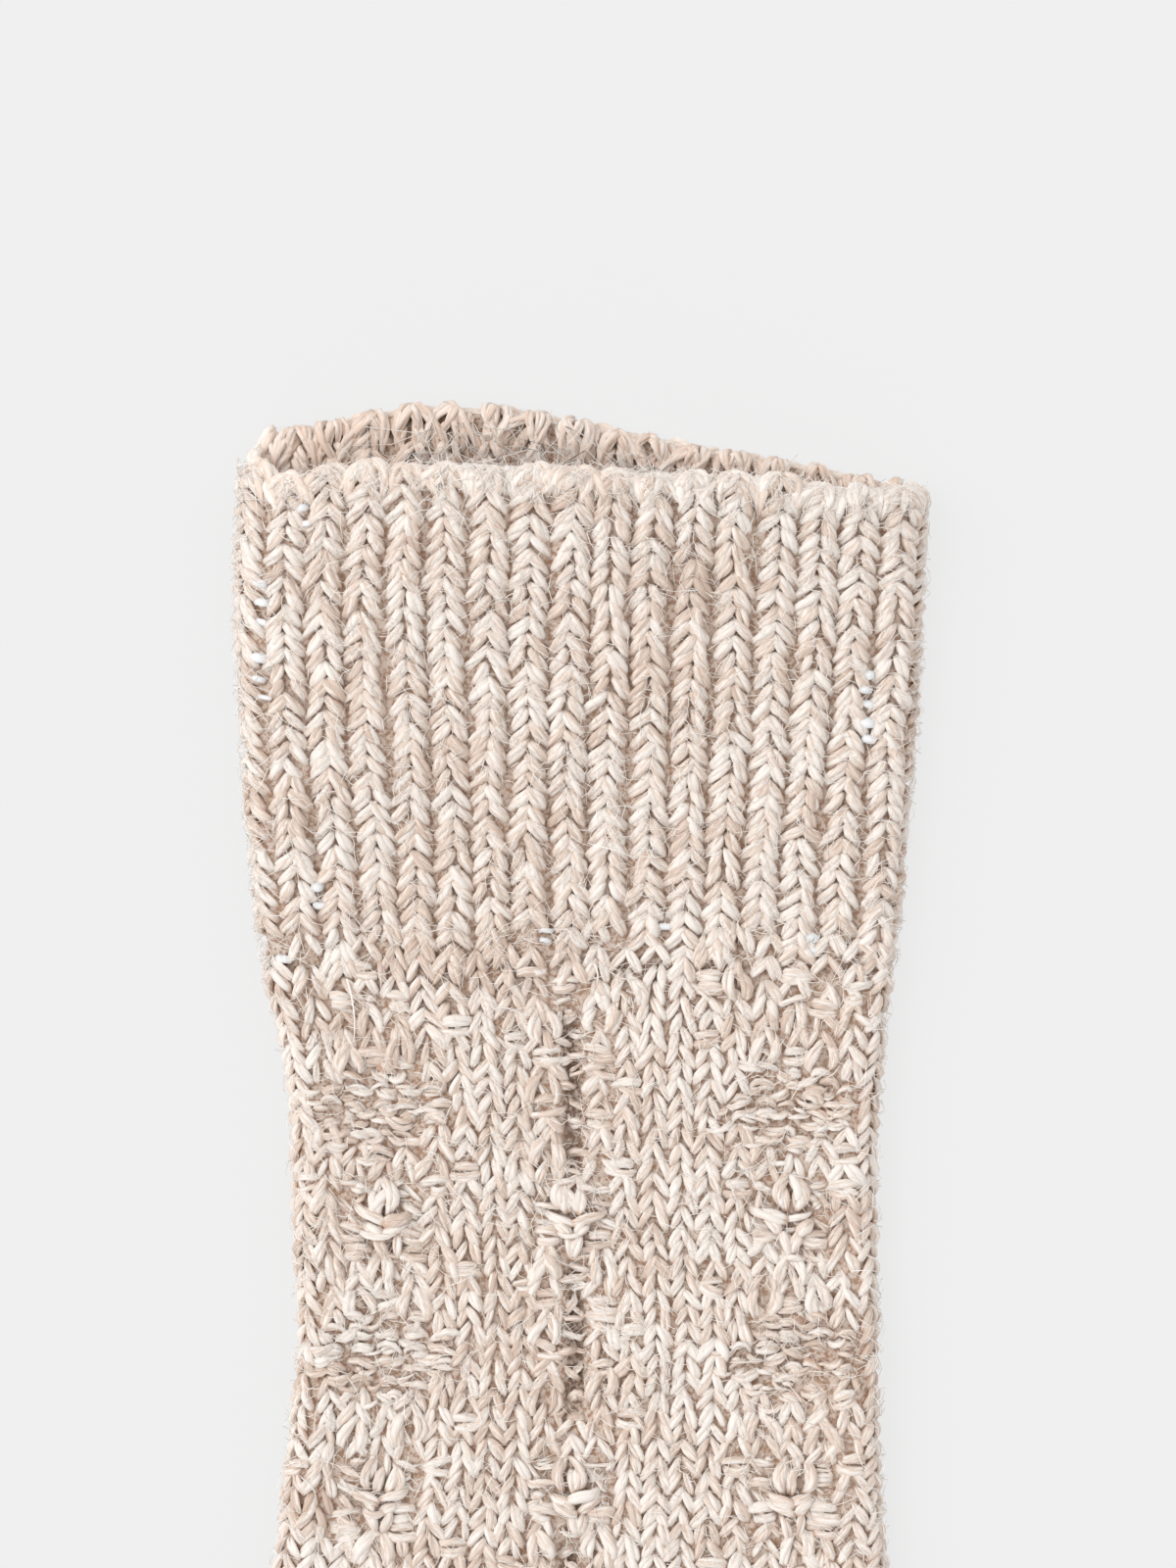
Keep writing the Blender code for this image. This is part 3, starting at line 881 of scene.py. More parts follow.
inner_spots, tuft_spots = [], []
for rib in range(RIBS // 2, RIBS):
    around = (rib + RIB_PHASE + 0.5) / RIBS
    if INSIDE_FROM < around < INSIDE_TO:
        tuft_spots.append((around, TUFT_DOWN))
        inner_spots += [(around, (k + INSIDE_FIRST) * CUFF_ROW) for k in range(INSIDE_COURSES)]
between_spots = [(around + 0.5 / RIBS, down) for around, down in tuft_spots]
inner_knitting = Knitting(CUFF, RIBS, CUFF_ROW, inner_rise, *INNER_WAY, inside=True)
tuft_knitting = Knitting(CUFF, RIBS, 1.0, inner_rise, *TUFT_WAY, inside=True)
inside_bundles = inner_knitting.strands(RIB_LEG, BOTH, inner_spots)
for table, hands, spots in ((TUFT, BOTH, tuft_spots), (INNER_LOOP, BOTH, tuft_spots),
                            (BETWEEN_TUFT, ONE, between_spots), (BETWEEN_TUFT, ONE, tuft_spots)):
    inside_bundles += tuft_knitting.strands(table, hands, spots)
# The mouth's knitting takes the yarn painted paler against its shade
cuff_inside = strand_mesh("cuff_inside", inside_bundles, mouth_painted_light_yarn)

cuff_strands = [cuff_ribs, cuff_under, cuff_rim, cuff_inside]
dress("cuff", "cuff_yarn", cuff_ground, CUFF, WALL_START, CUFF_LENGTH, cuff_strands)

# ---- The elastic thread ----------------------------------------------------------------------
# A thin white thread is knitted in with the cuff, and short lengths of it show in a few grooves.
ELASTIC_WHITE = (0.84, 0.85, 0.86)
ELASTIC_WAY = (5, 5, 1, 0.10)
ELASTIC_BAR = [
    (0.00, -0.17, 0.14, -0.20, 0.30),
    (0.30, -0.08, -0.06, 0.60, 0.56),
    (0.70, 0.08, 0.06, 0.62, 0.56),
    (1.00, 0.17, -0.12, -0.20, 0.30),
]
ELASTIC_PLACES = [
    # across, from, to, bars
    (-42.0, 14.6, 29.6, 7),
    (-36.4, 4.6, 6.6, 2),
    (-36.9, 55.8, 57.8, 2),
    (-38.5, 64.6, 65.6, 1),
    (-3.4, 60.6, 62.4, 2),
    (12.5, 60.6, 60.6, 1),
    (31.1, 61.6, 63.2, 2),
    (39.0, 25.6, 34.6, 5),
]


def plain_finish(name, colour):
    """One plain soft colour, for single fibres and threads."""
    material, tree = new_finish(name)
    seal(tree, {"Base Color": (*colour, 1.0), "Roughness": 0.8, "Specular IOR Level": 0.2})
    return material


elastic_spots = []
for across, first, last, bars in ELASTIC_PLACES:
    for down in np.linspace(first, last, bars):
        groove = round(float(CUFF.round_at(across, down)) * RIBS - RIB_PHASE + 0.5) - 0.5 + RIB_PHASE
        elastic_spots.append((groove / RIBS, down))
elastic_knitting = Knitting(CUFF, RIBS, CUFF_ROW, rib_rise, *ELASTIC_WAY)
elastic_bars = elastic_knitting.strands(ELASTIC_BAR, ONE, elastic_spots)
elastic_thread = strand_mesh("elastic_thread", elastic_bars, plain_finish("elastic", ELASTIC_WHITE))
attach("cuff_yarn", elastic_thread)

# ---- The leg ---------------------------------------------------------------------------------
# Plain knitting with three columns of knots. Between the knots the stitches turn to purl and lie
# low, in a lozenge at the sides and in a narrow groove in the middle, with painted shade on their
# ground, darkest in the groove.
WALES = 44
WALE_SHIFT = -0.0095
LEG_ROW = 2.18
LEG_COURSES = 42
KNOT_COURSE = 15
CHART_COURSES = 17
FIRST_LOZENGE_ENDS = 13
PANEL_CROWN = 0.40
PANEL_FADE = 10.0
LOZENGE_COURSE = 8.0
LOZENGE_HALF_HEIGHT = 3.4
LOZENGE_HALF_WIDTH = 2.1
LOZENGE_DEPTH = 0.20
LOZENGE_EDGE = (0.6, 1.0)
# Painted shade on the lozenges' ground
LOZENGE_SHADE = 0.1
GROOVE_HALF_WIDTH = 0.36
GROOVE_EDGE = (0.5, 1.3)
GROOVE_DEPTH = 0.85
# Painted shade on the middle groove's ground
GROOVE_PAINTED_SHADE = 0.75
GROOVE_COURSES = (2.0, 12.5)
GROOVE_END = 1.5
PANEL_EDGE = (1.2, 2.4)
LEG_FIRST = 0.2
FIRST_RISE = 0.5
FIRST_RISE_LENGTH = 7.0
FIRST_UNEVEN = 0.45
UNEVEN_COURSES = 6
FILLER_STRAYS = 0.2
FILLER_DOWN = 0.5
LEG_MESH = (40, 140, 16)
ANKLE_LENGTH = 158.0
TURN = math.radians(65)
INSTEP_RADIUS = 30.0
ANKLE_LEFT = -42.0
ANKLE_RIGHT = 41.0
HEEL_BULGE = 13.0
HEEL_STEPS = 6
FOOT_LENGTH = 104.0
FOOT_TAPER = 4.0
TOE_LENGTH = 44.0

LEG_ROWS = [
    # down, left, right
    (58.3, -42.2, 40.6),
    (66.3, -41.2, 39.8),
    (75.4, -39.6, 39.1),
    (83.2, -38.2, 38.5),
    (98.8, -37.8, 38.1),
    (114.4, -37.0, 38.3),
    (130.0, -38.4, 38.5),
    (145.6, -40.3, 39.4),
]
FOOT_ROWS = [
    # share of the foot's length, instep out, sole out
    (0.33, -0.8, -0.6),
    (0.67, -0.4, 0.9),
    (1.0, 0.0, 0.6),
]
TOE_ROWS = [
    # left to the tip, share of the width, share of the thickness
    (33.0, 0.98, 1.0),
    (23.0, 0.925, 1.0),
    (14.0, 0.82, 0.98),
    (7.0, 0.67, 0.95),
    (2.5, 0.50, 0.90),
    (0.0, 0.33, 0.84),
]


def body_sections():
    """Left point, right point and edge radius of each section, from the cuff's end to the toe's tip."""
    rows = [((left, -down), (right, -down), EDGE_RADIUS) for down, left, right in LEG_ROWS]
    pivot = np.array((ANKLE_LEFT - INSTEP_RADIUS, -ANKLE_LENGTH))
    for k in range(HEEL_STEPS + 1):
        part = k / HEEL_STEPS
        outward = np.array((math.cos(TURN * part), -math.sin(TURN * part)))
        width = ANKLE_RIGHT - ANKLE_LEFT + HEEL_BULGE * math.sin(math.pi * part) ** 2 - FOOT_TAPER * part
        rows.append((pivot + outward * INSTEP_RADIUS, pivot + outward * (INSTEP_RADIUS + width), EDGE_RADIUS))
    forward = np.array((-math.sin(TURN), -math.cos(TURN)))
    instep, sole = rows[-1][0], rows[-1][1]
    for share, instep_out, sole_out in FOOT_ROWS:
        along = forward * FOOT_LENGTH * share
        rows.append((instep + along - outward * instep_out, sole + along + outward * sole_out, EDGE_RADIUS))
    middle = (rows[-1][0] + rows[-1][1]) / 2
    half_width = (rows[-1][1] - rows[-1][0]) / 2
    for to_tip, width, thickness in TOE_ROWS:
        centre = middle + forward * (TOE_LENGTH - to_tip)
        rows.append((centre - half_width * width, centre + half_width * width, EDGE_RADIUS * thickness))
    return rows


BODY = Stretch(body_sections(), LEG_ROWS[0][0], 0.0)
HEEL_START = BODY.station[len(LEG_ROWS)]
HEEL_END = BODY.station[len(LEG_ROWS) + HEEL_STEPS]
FOOT_END = BODY.station[-1 - len(TOE_ROWS)]
TOE_END = BODY.station[-1]

PLAIN_LEG = [
    (0.00, 0.02, -0.82, -0.45, 0.24),
    (0.20, 0.11, -0.50, 0.10, 0.54),
    (0.42, 0.22, -0.14, 0.32, 0.69),
    (0.64, 0.33, 0.22, 0.28, 0.68),
    (0.84, 0.41, 0.54, 0.00, 0.54),
    (1.00, 0.46, 0.84, -0.45, 0.26),
]
LEAF_LEG = [
    (0.00, 0.02, -1.10, -0.40, 0.28),
    (0.20, 0.18, -0.74, 0.30, 0.62),
    (0.42, 0.34, -0.26, 0.66, 0.84),
    (0.64, 0.42, 0.24, 0.62, 0.84),
    (0.84, 0.38, 0.68, 0.24, 0.64),
    (1.00, 0.24, 1.00, -0.45, 0.30),
]
BAR_HIGH = [
    (0.00, -0.50, -0.10, -0.45, 0.30),
    (0.25, -0.34, -0.28, 0.26, 0.62),
    (0.50, 0.00, -0.34, 0.44, 0.68),
    (0.75, 0.34, -0.28, 0.26, 0.62),
    (1.00, 0.50, -0.10, -0.45, 0.30),
]
BAR_LOW = [
    (0.00, -0.50, 0.06, -0.45, 0.30),
    (0.25, -0.34, 0.26, 0.22, 0.60),
    (0.50, 0.00, 0.34, 0.38, 0.66),
    (0.75, 0.34, 0.26, 0.22, 0.60),
    (1.00, 0.50, 0.06, -0.45, 0.30),
]
SUNK_HIGH = [
    (0.00, -0.36, 0.14, -0.40, 0.30),
    (0.25, -0.24, -0.18, 0.22, 0.60),
    (0.50, 0.02, -0.32, 0.44, 0.70),
    (0.75, 0.26, -0.16, 0.22, 0.60),
    (1.00, 0.38, 0.16, -0.40, 0.30),
]
SUNK_LOW = [
    (0.00, 0.12, 0.10, -0.40, 0.30),
    (0.25, 0.24, 0.34, 0.20, 0.58),
    (0.50, 0.46, 0.44, 0.40, 0.68),
    (0.75, 0.70, 0.34, 0.20, 0.58),
    (1.00, 0.82, 0.10, -0.40, 0.30),
]
CURL = [
    (0.00, -0.30, -0.26, -0.30, 0.26),
    (0.25, -0.16, 0.06, 0.24, 0.50),
    (0.50, 0.04, -0.02, 0.45, 0.58),
    (0.75, 0.20, 0.14, 0.24, 0.50),
    (1.00, 0.34, -0.12, -0.30, 0.26),
]
FILLER = [
    (0.00, -0.44, -0.60, -0.40, 0.30),
    (0.33, -0.14, -0.22, 0.02, 0.58),
    (0.67, 0.16, 0.24, 0.04, 0.60),
    (1.00, 0.44, 0.62, -0.40, 0.30),
]
LONG_BAR = [
    (0.00, -0.60, 0.16, -0.20, 0.30),
    (0.25, -0.36, -0.06, 0.62, 0.52),
    (0.50, 0.00, -0.14, 0.78, 0.56),
    (0.75, 0.36, -0.06, 0.62, 0.52),
    (1.00, 0.60, 0.16, -0.20, 0.30),
]
KNOT_LEAF = [
    (0.00, 0.02, -2.45, -0.30, 0.32),
    (0.20, 0.22, -2.10, 0.65, 0.66),
    (0.45, 0.40, -1.55, 1.05, 0.84),
    (0.75, 0.42, -0.95, 0.90, 0.78),
    (1.00, 0.26, -0.40, 0.10, 0.42),
]
KNOT_HEART = [
    (0.00, 0.04, -1.95, 0.30, 0.40),
    (0.35, 0.12, -1.50, 0.80, 0.76),
    (0.70, 0.16, -0.95, 0.85, 0.80),
    (1.00, 0.12, -0.40, 0.50, 0.50),
]
KNOT_ARM = [
    (0.00, 0.98, -0.62, -0.20, 0.36),
    (0.25, 0.76, -0.34, 0.85, 0.68),
    (0.60, 0.36, -0.14, 1.25, 0.80),
    (1.00, -0.06, 0.14, 0.95, 0.52),
]
KNOT_WING = [
    (0.00, 0.78, 0.06, -0.10, 0.34),
    (0.30, 0.54, 0.26, 0.80, 0.70),
    (0.70, 0.22, 0.56, 1.10, 0.78),
    (1.00, 0.02, 0.94, 0.70, 0.50),
]
KNOT_BAR = [
    (0.00, -0.52, 0.52, 0.60, 0.28),
    (0.22, -0.38, 0.70, 1.45, 0.42),
    (0.50, 0.00, 0.78, 1.80, 0.46),
    (0.78, 0.38, 0.70, 1.45, 0.42),
    (1.00, 0.52, 0.52, 0.60, 0.28),
]
KNOT_TAIL = [
    (0.00, 0.26, 0.85, 0.70, 0.50),
    (0.35, 0.20, 1.25, 1.05, 0.74),
    (0.70, 0.11, 1.75, 0.80, 0.68),
    (1.00, 0.04, 2.30, -0.30, 0.30),
]
# The strands that both kinds of knot share
KNOT = [(table, BOTH, PLIES) for table in (KNOT_LEAF, KNOT_HEART, KNOT_ARM, KNOT_WING)]
KNOT_END = (KNOT_TAIL, BOTH, PLIES)
# Each kind of stitch in the charts: its strands, the hands each is made in, and its plies
STITCH_KINDS = {
    "K": [(PLAIN_LEG, BOTH, PLIES)],
    "V": [(PLAIN_LEG, BOTH, PLIES)],
    "k": [(LEAF_LEG, BOTH, PLIES)],
    "P": [(BAR_HIGH, ONE, PLIES), (BAR_LOW, (-1,), PLIES)],
    "f": [(FILLER, ONE, 2)],
    "p": [(SUNK_HIGH, ONE, 2), (SUNK_LOW, (-1,), 2), (CURL, ONE, 2)],
    "c": [(CURL, BOTH, 2)],
    "B": [(LONG_BAR, ONE, PLIES), (BAR_LOW, ONE, PLIES)],
    "N": [*KNOT, (KNOT_BAR, ONE, PLIES), KNOT_END],
    "M": [*KNOT, KNOT_END],
}
# Points along a strand and its looseness, where they aren't the usual ones
USUAL_RINGS = 6
RINGS = {"P": 5, "f": 4, "N": 8, "M": 8}
USUAL_LOOSENESS = 0.09
LOOSENESS = {"K": 0.055, "p": 0.15, "c": 0.20}
# Charts of one repeat, a row of knitting a line, from a knot down: K plain, V plain but looser,
# k leaf, P purl, B a long bar over purl, p sunk purl, c curl, N knot with a bar, M knot without,
# and a dot where the ground shows. A filler, f, lies behind most of them.
LEFT_CHART = [
    "KV.N.VK",
    "KVPcPVK",
    "KVPcPVK",
    "KVVkVVP",
    "KVVVVVK",
    "KVkPkVK",
    "KVpppVK",
    "KpppppK",
    "VpppppK",
    "KpppppV",
    "KVpppVK",
    "KVVpVVK",
    "KVVVVVP",
    "KVkVkVK",
    "KVVVVVK",
    "PVcVcPK",
    "KVc.cVK",
]
CENTRE_CHART = [
    "KcNcK",
    "KPcPK",
    "VVcVV",
    "KkckK",
    "PVcVK",
    "KPcPK",
    "VVcPV",
    "KkcVP",
    "KPcVK",
    "VVcPV",
    "KV.kK",
    "KkpVK",
    "VVcVP",
    "KVVVK",
    "KVVVK",
    "KcVcK",
    "Kc.cK",
]
RIGHT_CHART = [
    "KV.M.VK",
    "KVPcPVK",
    "KVVcPVK",
    "KVVkVVK",
    "PVVVVVK",
    "KVkPkVK",
    "KVpppVK",
    "KVppppK",
    "KpppppK",
    "VpppppK",
    "KVpppVV",
    "KVVpVPK",
    "KVVVVVK",
    "KVkVkVK",
    "KVVVVVK",
    "KPcVcPK",
    "KVc.cVK",
]
COLUMNS = [
    # wale, chart
    (4, LEFT_CHART),
    (11, CENTRE_CHART),
    (19, RIGHT_CHART),
]
# The first rows under the cuff, from the left edge to the right
FIRST_ROWS = [
    "KKVKPVKKKVBVKKVKPVVBKKK",
    "KVVVVVKKKKVPVkKVPkVVVPK",
]


def stitch_kind(wale, course):
    """What is knitted at a wale and row: the first lozenge sits a little nearer to its knot."""
    if wale >= len(FIRST_ROWS[0]) or course < 0:
        return "K"
    if course < len(FIRST_ROWS):
        return FIRST_ROWS[course][wale]
    line = course if course < FIRST_LOZENGE_ENDS else (course - KNOT_COURSE) % CHART_COURSES
    for middle, chart in COLUMNS:
        half_chart = len(chart[0]) // 2
        if abs(wale - middle) <= half_chart:
            return chart[line][wale - middle + half_chart]
    return "K"


def column_place(around, station):
    """Wales from the nearest column, whether that is the middle one, and rows below the last knot."""
    wale = ((around - WALE_SHIFT) * WALES) % WALES
    course = (station - CUFF_LENGTH) / LEG_ROW - LEG_FIRST
    away = np.stack([np.abs(wale - middle) for middle, _ in COLUMNS])
    line = np.where(course < FIRST_LOZENGE_ENDS, course, (course - KNOT_COURSE) % CHART_COURSES)
    return away.min(0), away.argmin(0) == 1, line


def leg_sink(around, station):
    """1 in the middle groove and part way in the lozenges, where the cloth lies low: its depth and painted
    shade.
    """
    away, middle, line = column_place(around, station)
    lozenge = np.hypot(away / LOZENGE_HALF_WIDTH, (line - LOZENGE_COURSE) / LOZENGE_HALF_HEIGHT)
    first, last = GROOVE_COURSES
    long_way = step(first, first + GROOVE_END, line) * (1 - step(last - GROOVE_END, last, line))
    inner, outer = [GROOVE_HALF_WIDTH * edge for edge in GROOVE_EDGE]
    groove = (1 - step(inner, outer, away)) * long_way
    return np.where(middle, GROOVE_PAINTED_SHADE * groove, LOZENGE_SHADE * (1 - step(*LOZENGE_EDGE, lozenge)))


def panel_rise(around, station):
    """The plain panels are crowned between the columns, and the lozenges and the groove lie low."""
    away, middle, _ = column_place(around, station)
    depth = np.where(middle, GROOVE_DEPTH / GROOVE_PAINTED_SHADE, LOZENGE_DEPTH / LOZENGE_SHADE)
    first = FIRST_RISE * (1 - step(0, FIRST_RISE_LENGTH, station - CUFF_LENGTH))
    last = 1 - step(HEEL_START - PANEL_FADE, HEEL_START, station)
    crown = PANEL_CROWN * step(*PANEL_EDGE, away)
    return (crown - leg_sink(around, station) * depth) * last + first


placed = {}
for wale in range(WALES):
    around = wale / WALES + WALE_SHIFT
    for course in range(-1 - dice.integers(0, 2), LEG_COURSES):
        kind = stitch_kind(wale, course)
        group = ("plain" if kind == "K" else "fancy") if on_top(around) else "under"
        uneven = dice.normal(0, FIRST_UNEVEN) * max(1 - (course + 2) / UNEVEN_COURSES, 0)
        down = CUFF_LENGTH + (course + LEG_FIRST + uneven) * LEG_ROW
        if kind != ".":
            placed.setdefault((group, kind), []).append((around, down))
        away, in_middle, _ = column_place(np.array(around), np.array(down))
        if group == "fancy" and kind not in "pV" and not (in_middle and away < 0.5):
            filler = (around + dice.normal(0, FILLER_STRAYS) / WALES, down + FILLER_DOWN)
            placed.setdefault((group, "f"), []).append(filler)
leg_bundles = {"plain": [], "fancy": [], "under": []}
for (group, kind), spots in placed.items():
    rings, sides = RINGS.get(kind, USUAL_RINGS), 4 if kind in "fpc" else 5
    loose = LOOSENESS.get(kind, USUAL_LOOSENESS)
    for table, hands, plies in STITCH_KINDS[kind]:
        way = UNDER_WAY if group == "under" else (rings, sides, plies, loose)
        knitting = Knitting(BODY, WALES, LEG_ROW, panel_rise, *way)
        leg_bundles[group] += knitting.strands(table, hands, spots)
leg_span = (CUFF_LENGTH - LAP / 2, HEEL_START + LAP / 2)
leg_ground = ground_shell("leg_ground", BODY, leg_span, LEG_MESH, panel_rise, leg_sink)
leg_names = {"plain": "leg_plain_stitches", "fancy": "leg_column_stitches", "under": "leg_under_stitches"}
leg_strands = [strand_mesh(leg_names[group], leg_bundles[group], yarn) for group in leg_names]
dress("leg", "leg_yarn", leg_ground, BODY, CUFF_LENGTH, HEEL_START, leg_strands)

# ---- The heel turn ---------------------------------------------------------------------------
# Plain knitting that turns by short rows: few rows on the instep side, more towards the heel.
HEEL_ZONES = [
    # from share across, rows on the turn
    (-1.0, 25),
    (-0.36, 36),
    (0.36, 54),
]
ANKLE_FOLD_WIDE = 0.075
FOLD_START = 0.25
PLAIN_WAY = (4, 4)
HEEL_MESH = (26, 70, 18)
FOLD_ROWS = [
    # share of the turn, reach in from the instep edge, height
    (0.30, 26.0, 0.8),
    (0.56, 34.0, 1.1),
    (0.80, 22.0, 0.7),
]


def ankle_rise(around, station):
    """Soft folds that fan out from the inside of the ankle."""
    left_x, left_y, right_x, right_y, radius = BODY.at(station)
    width = np.hypot(right_x - left_x, right_y - left_y)
    from_instep = ring_place(around, width, radius)[0] + width / 2
    share = (station - HEEL_START) / (HEEL_END - HEEL_START)
    relief = np.zeros(np.shape(from_instep))
    for turn, reach, height in FOLD_ROWS:
        ridge = 1 - step(0, 1, np.abs(share - turn) / ANKLE_FOLD_WIDE)
        relief += height * ridge * (1 - step(FOLD_START * reach, reach, from_instep))
    return relief * topside(around)


def plain_wales():
    """Each wale's number, its place round the tube, and whether it shows from above."""
    for wale in range(WALES):
        around = wale / WALES + WALE_SHIFT
        yield wale, around, bool(on_top(around))


def plain_spots(around, first, last, row):
    """Rows of one wale between two stations."""
    count = max(int(round((last - first) / row)), 1)
    return [(around, first + (k + 0.5) * (last - first) / count) for k in range(count)]


def plain_bundles(upper, row, rise, spots):
    """Strands of plain stitches away from the picture's middle, simpler on the underside."""
    knitting = Knitting(BODY, WALES, row, rise, *(PLAIN_WAY if upper else UNDER_WAY))
    return knitting.strands(PLAIN_LEG, BOTH, spots)


heel_bundles = {True: [], False: []}
for _, around, upper in plain_wales():
    across = ring_place(np.array(around), USUAL_WIDTH, EDGE_RADIUS)[0] / (USUAL_WIDTH / 2)
    row = (HEEL_END - HEEL_START) / [rows for start, rows in HEEL_ZONES if across >= start][-1]
    spots = plain_spots(around, HEEL_START, HEEL_END, row)
    heel_bundles[upper] += plain_bundles(upper, row, ankle_rise, spots)
heel_span = (HEEL_START + SEAM_GAP, HEEL_END + LAP / 2)
heel_ground = ground_shell("heel_ground", BODY, heel_span, HEEL_MESH, ankle_rise)
heel_top = strand_mesh("heel_stitches", heel_bundles[True], yarn)
heel_under = strand_mesh("heel_under_stitches", heel_bundles[False], yarn)
dress("heel", "foot_yarn", heel_ground, BODY, HEEL_START, HEEL_END, [heel_top, heel_under])

# ---- The foot --------------------------------------------------------------------------------
# Plain knitting in the round, the same yarn and gauge as the leg.
FOOT_MESH = (18, 70, 18)


def plain_pieces(node, spots):
    """The stitches of a plain stretch, those that show from above first."""
    for name, upper in ((f"{node}_stitches", True), (f"{node}_under_stitches", False)):
        yield strand_mesh(name, plain_bundles(upper, LEG_ROW, level_cloth, spots[upper]), yarn)


foot_spots = {True: [], False: []}
for _, around, upper in plain_wales():
    foot_spots[upper] += plain_spots(around, HEEL_END, FOOT_END, LEG_ROW)
foot_span = (HEEL_END + SEAM_GAP / 2, FOOT_END + LAP / 2)
foot_ground = ground_shell("foot_ground", BODY, foot_span, FOOT_MESH, level_cloth)
foot_strands = list(plain_pieces("foot", foot_spots))
dress("foot", "foot_yarn", foot_ground, BODY, HEEL_END, FOOT_END, foot_strands)

# ---- The toe ---------------------------------------------------------------------------------
# Plain knitting that narrows to a closed tip. Every other wale ends as the tube gets thinner.
TOE_ALL_WALES = 0.62
TOE_LAST_ROW = 1.0
TIP_GAP = 0.4
TOE_MESH = (20, 70, 18)
toe_spots = {True: [], False: []}
for wale, around, upper in plain_wales():
    for spot in plain_spots(around, FOOT_END, TOE_END - TOE_LAST_ROW, LEG_ROW):
        narrowed = float(BODY.girth(spot[1]) / BODY.girth(FOOT_END))
        if narrowed > TOE_ALL_WALES or wale % 2 == 0:
            toe_spots[upper].append(spot)
toe_span = (FOOT_END + SEAM_GAP / 2, TOE_END - TIP_GAP)
toe_ground = ground_shell("toe_ground", BODY, toe_span, TOE_MESH, level_cloth, closed=True)
toe_strands = list(plain_pieces("toe", toe_spots))
dress("toe", "foot_yarn", toe_ground, BODY, FOOT_END, TOE_END, toe_strands)

# ---- The loose fibres ------------------------------------------------------------------------
# The carded yarn sheds fine fibres that cross the stitches and stand off the edges. A few longer
# threads lie on the cloth, and curly ones gather in the mouth.
FIBRES = [
    # stretch, relief, first and last place round, first and last distance from the rim, number
    (CUFF, rib_rise, -0.006, 0.506, 0.0, 66.0, 2600),
    (CUFF, rib_rise, -0.006, 0.506, -0.5, 4.0, 500),
    (CUFF, rib_rise, -0.012, 0.012, 0.0, 66.0, 250),
    (CUFF, rib_rise, 0.488, 0.512, 0.0, 66.0, 150),
    (BODY, panel_rise, -0.006, 0.506, 66.0, 156.0, 2900),
]
# Painted light: loose fibres are paler than the yarn's cream, so that thin fibres read bright
FIBRE = (0.98, 0.93, 0.88)
FRIZZ_SHADE = 0.9
FIBRE_LENGTH = (1.6, 4.2)
FIBRE_RADIUS = (0.035, 0.060)
FIBRE_LEVELS = (0.5, 1.1)
FIBRE_CURL = 0.9
FIBRE_ARCH = 0.5
WAVE_SIZE = 0.15
RIM_REACH = -1.2
FRIZZ_COUNT = 60
FRIZZ_ROUND = (0.58, 0.92)
FRIZZ_DOWN = (3.5, 7.5)
FRIZZ_LENGTH = (3.0, 7.0)
FRIZZ_RADIUS = (0.05, 0.09)
FRIZZ_LEVELS = (0.8, 1.5)
FRIZZ_CURL = 4.0
THREAD_LEVEL = 1.0
THREAD_ARCH = 0.6
THREAD_THINS = 0.6
THREADS = [
    # across and down at the start, across and down at the end, bow, radius
    (-31.3, 67.4, -30.4, 75.8, 0.5, 0.17),
    (1.5, 65.4, 1.9, 67.8, 0.2, 0.15),
    (0.6, 49.3, 7.2, 51.4, 0.8, 0.08),
    (-20.5, 28.0, -17.6, 33.2, 0.6, 0.06),
    (22.1, 92.5, 25.0, 97.5, -0.6, 0.06),
]


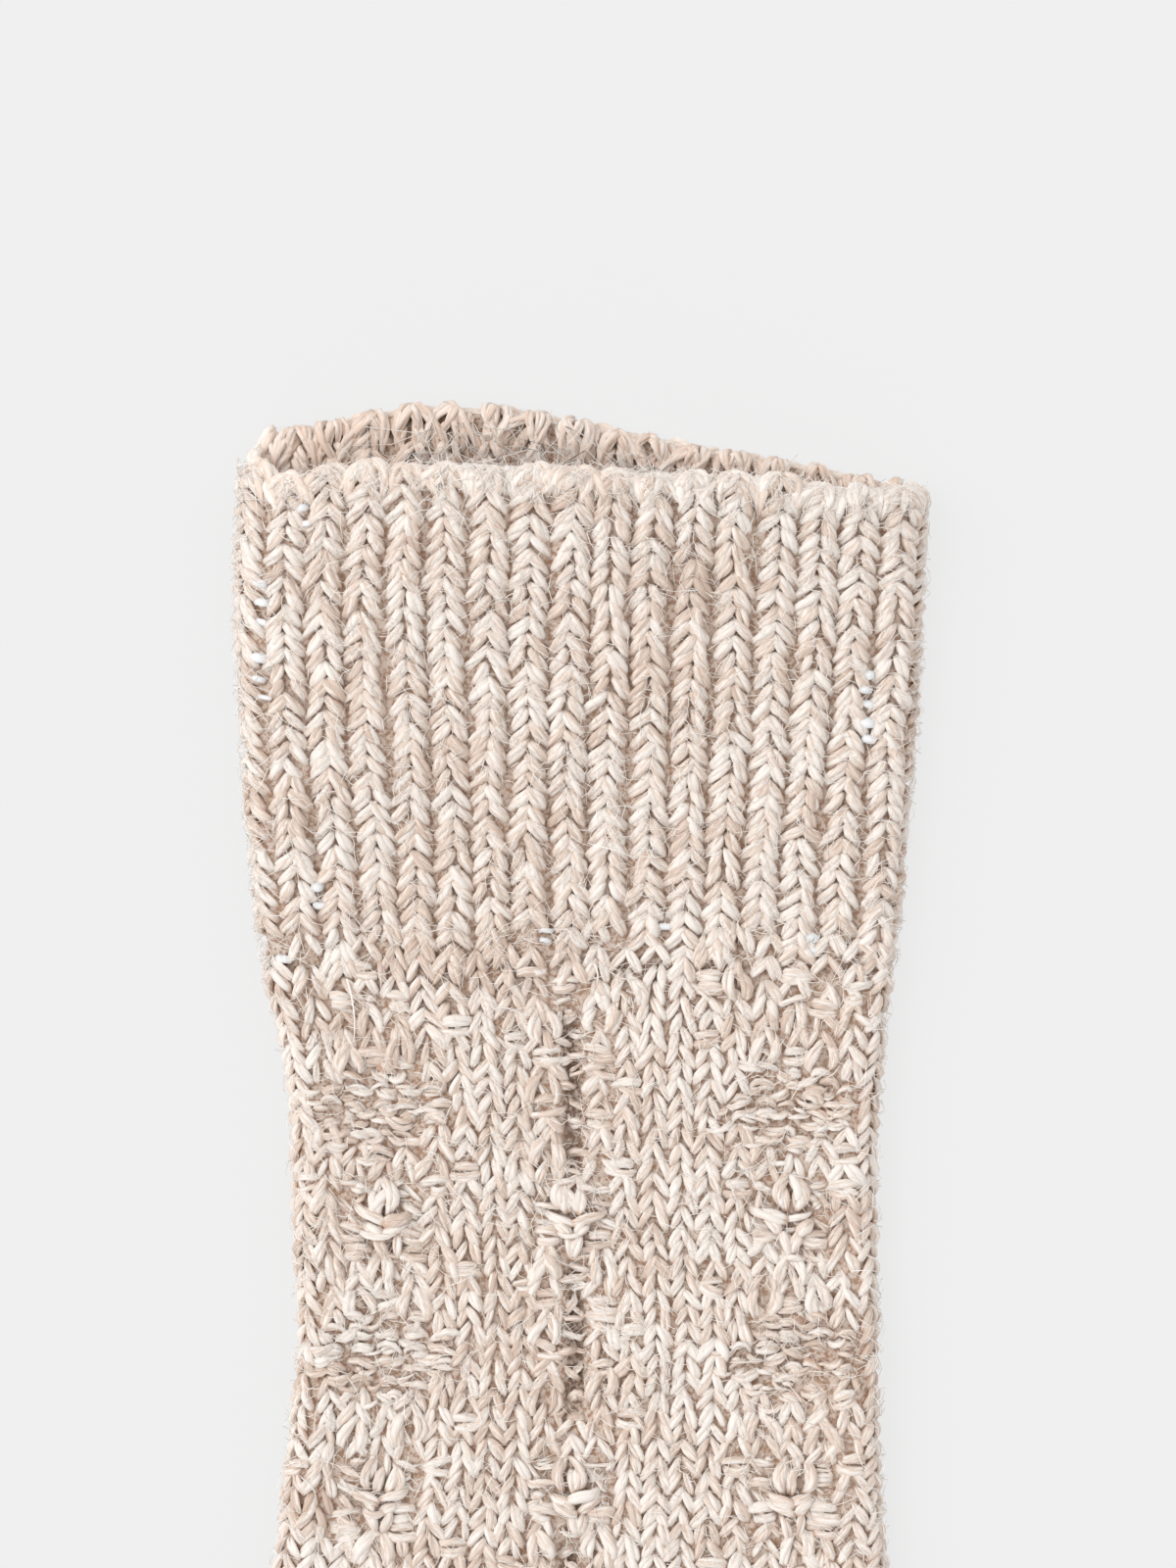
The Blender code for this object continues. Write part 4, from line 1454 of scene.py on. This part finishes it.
def loose_strands(stretch, rise, spots, sizes, curl, levels, points, inside=False):
    """Thin curved strands that start in the cloth, arch over it and go in again."""
    (around, station), (length, radius) = spots, sizes
    count = len(around)
    share = np.linspace(-0.5, 0.5, points)[None]
    heading = dice.uniform(0, 2 * math.pi, (count, 1)) + dice.normal(0, curl, (count, 1)) * share
    wave = dice.normal(0, curl, (count, 1)) * np.sin(3 * math.pi * share)
    aside = length[:, None] * (share * np.cos(heading) - WAVE_SIZE * wave * np.sin(heading))
    down = length[:, None] * (share * np.sin(heading) + WAVE_SIZE * wave * np.cos(heading))
    at_round = around[:, None] + aside / stretch.girth(station)[:, None]
    at_down = np.maximum(station[:, None] + down, RIM_REACH)
    level = dice.uniform(*levels, (count, 1)) + FIBRE_ARCH * (1 - 4 * share ** 2)
    level = level + rise(at_round, at_down)
    thick = np.repeat(radius[:, None], points, axis=1)
    level = -WALL - level if inside else settle(at_round, level, thick)
    swept = sweep_strands(stretch, at_round, at_down, level, thick, 3)
    return [(*strand, np.zeros((count, 2))) for strand in swept]


fibre_bundles = []
for stretch, rise, first_round, last_round, first_down, last_down, count in FIBRES:
    spots = (dice.uniform(first_round, last_round, count), dice.uniform(first_down, last_down, count))
    sizes = (dice.uniform(*FIBRE_LENGTH, count), dice.uniform(*FIBRE_RADIUS, count))
    fibre_bundles += loose_strands(stretch, rise, spots, sizes, FIBRE_CURL, FIBRE_LEVELS, 3)
for x_start, down_start, x_end, down_end, bow, radius in THREADS:
    stretch, rise = (CUFF, rib_rise) if down_end < CUFF_LENGTH else (BODY, panel_rise)
    share = np.linspace(0, 1, 9)[None]
    arch = 4 * share * (1 - share)
    across = x_start + (x_end - x_start) * share + bow * arch
    station = down_start + (down_end - down_start) * share
    around = stretch.round_at(across, station)
    level = THREAD_LEVEL + THREAD_ARCH * arch + rise(around, station)
    thick = radius * (1 - THREAD_THINS * share)
    swept = sweep_strands(stretch, around, station, level, thick, 5)
    fibre_bundles += [(*strand, np.zeros((1, 2))) for strand in swept]
loose_fibres = strand_mesh("loose_fibres", fibre_bundles, plain_finish("fibre", FIBRE))

frizz_spots = (dice.uniform(*FRIZZ_ROUND, FRIZZ_COUNT), dice.uniform(*FRIZZ_DOWN, FRIZZ_COUNT))
frizz_sizes = (dice.uniform(*FRIZZ_LENGTH, FRIZZ_COUNT), dice.uniform(*FRIZZ_RADIUS, FRIZZ_COUNT))
frizz = loose_strands(CUFF, inner_rise, frizz_spots, frizz_sizes, FRIZZ_CURL, FRIZZ_LEVELS, 9, inside=True)
grey_fibre = plain_finish("grey_fibre", shaded(FIBRE, FRIZZ_SHADE))
mouth_frizz = strand_mesh("mouth_frizz", frizz, grey_fibre)
attach("cuff_yarn", loose_fibres, mouth_frizz)
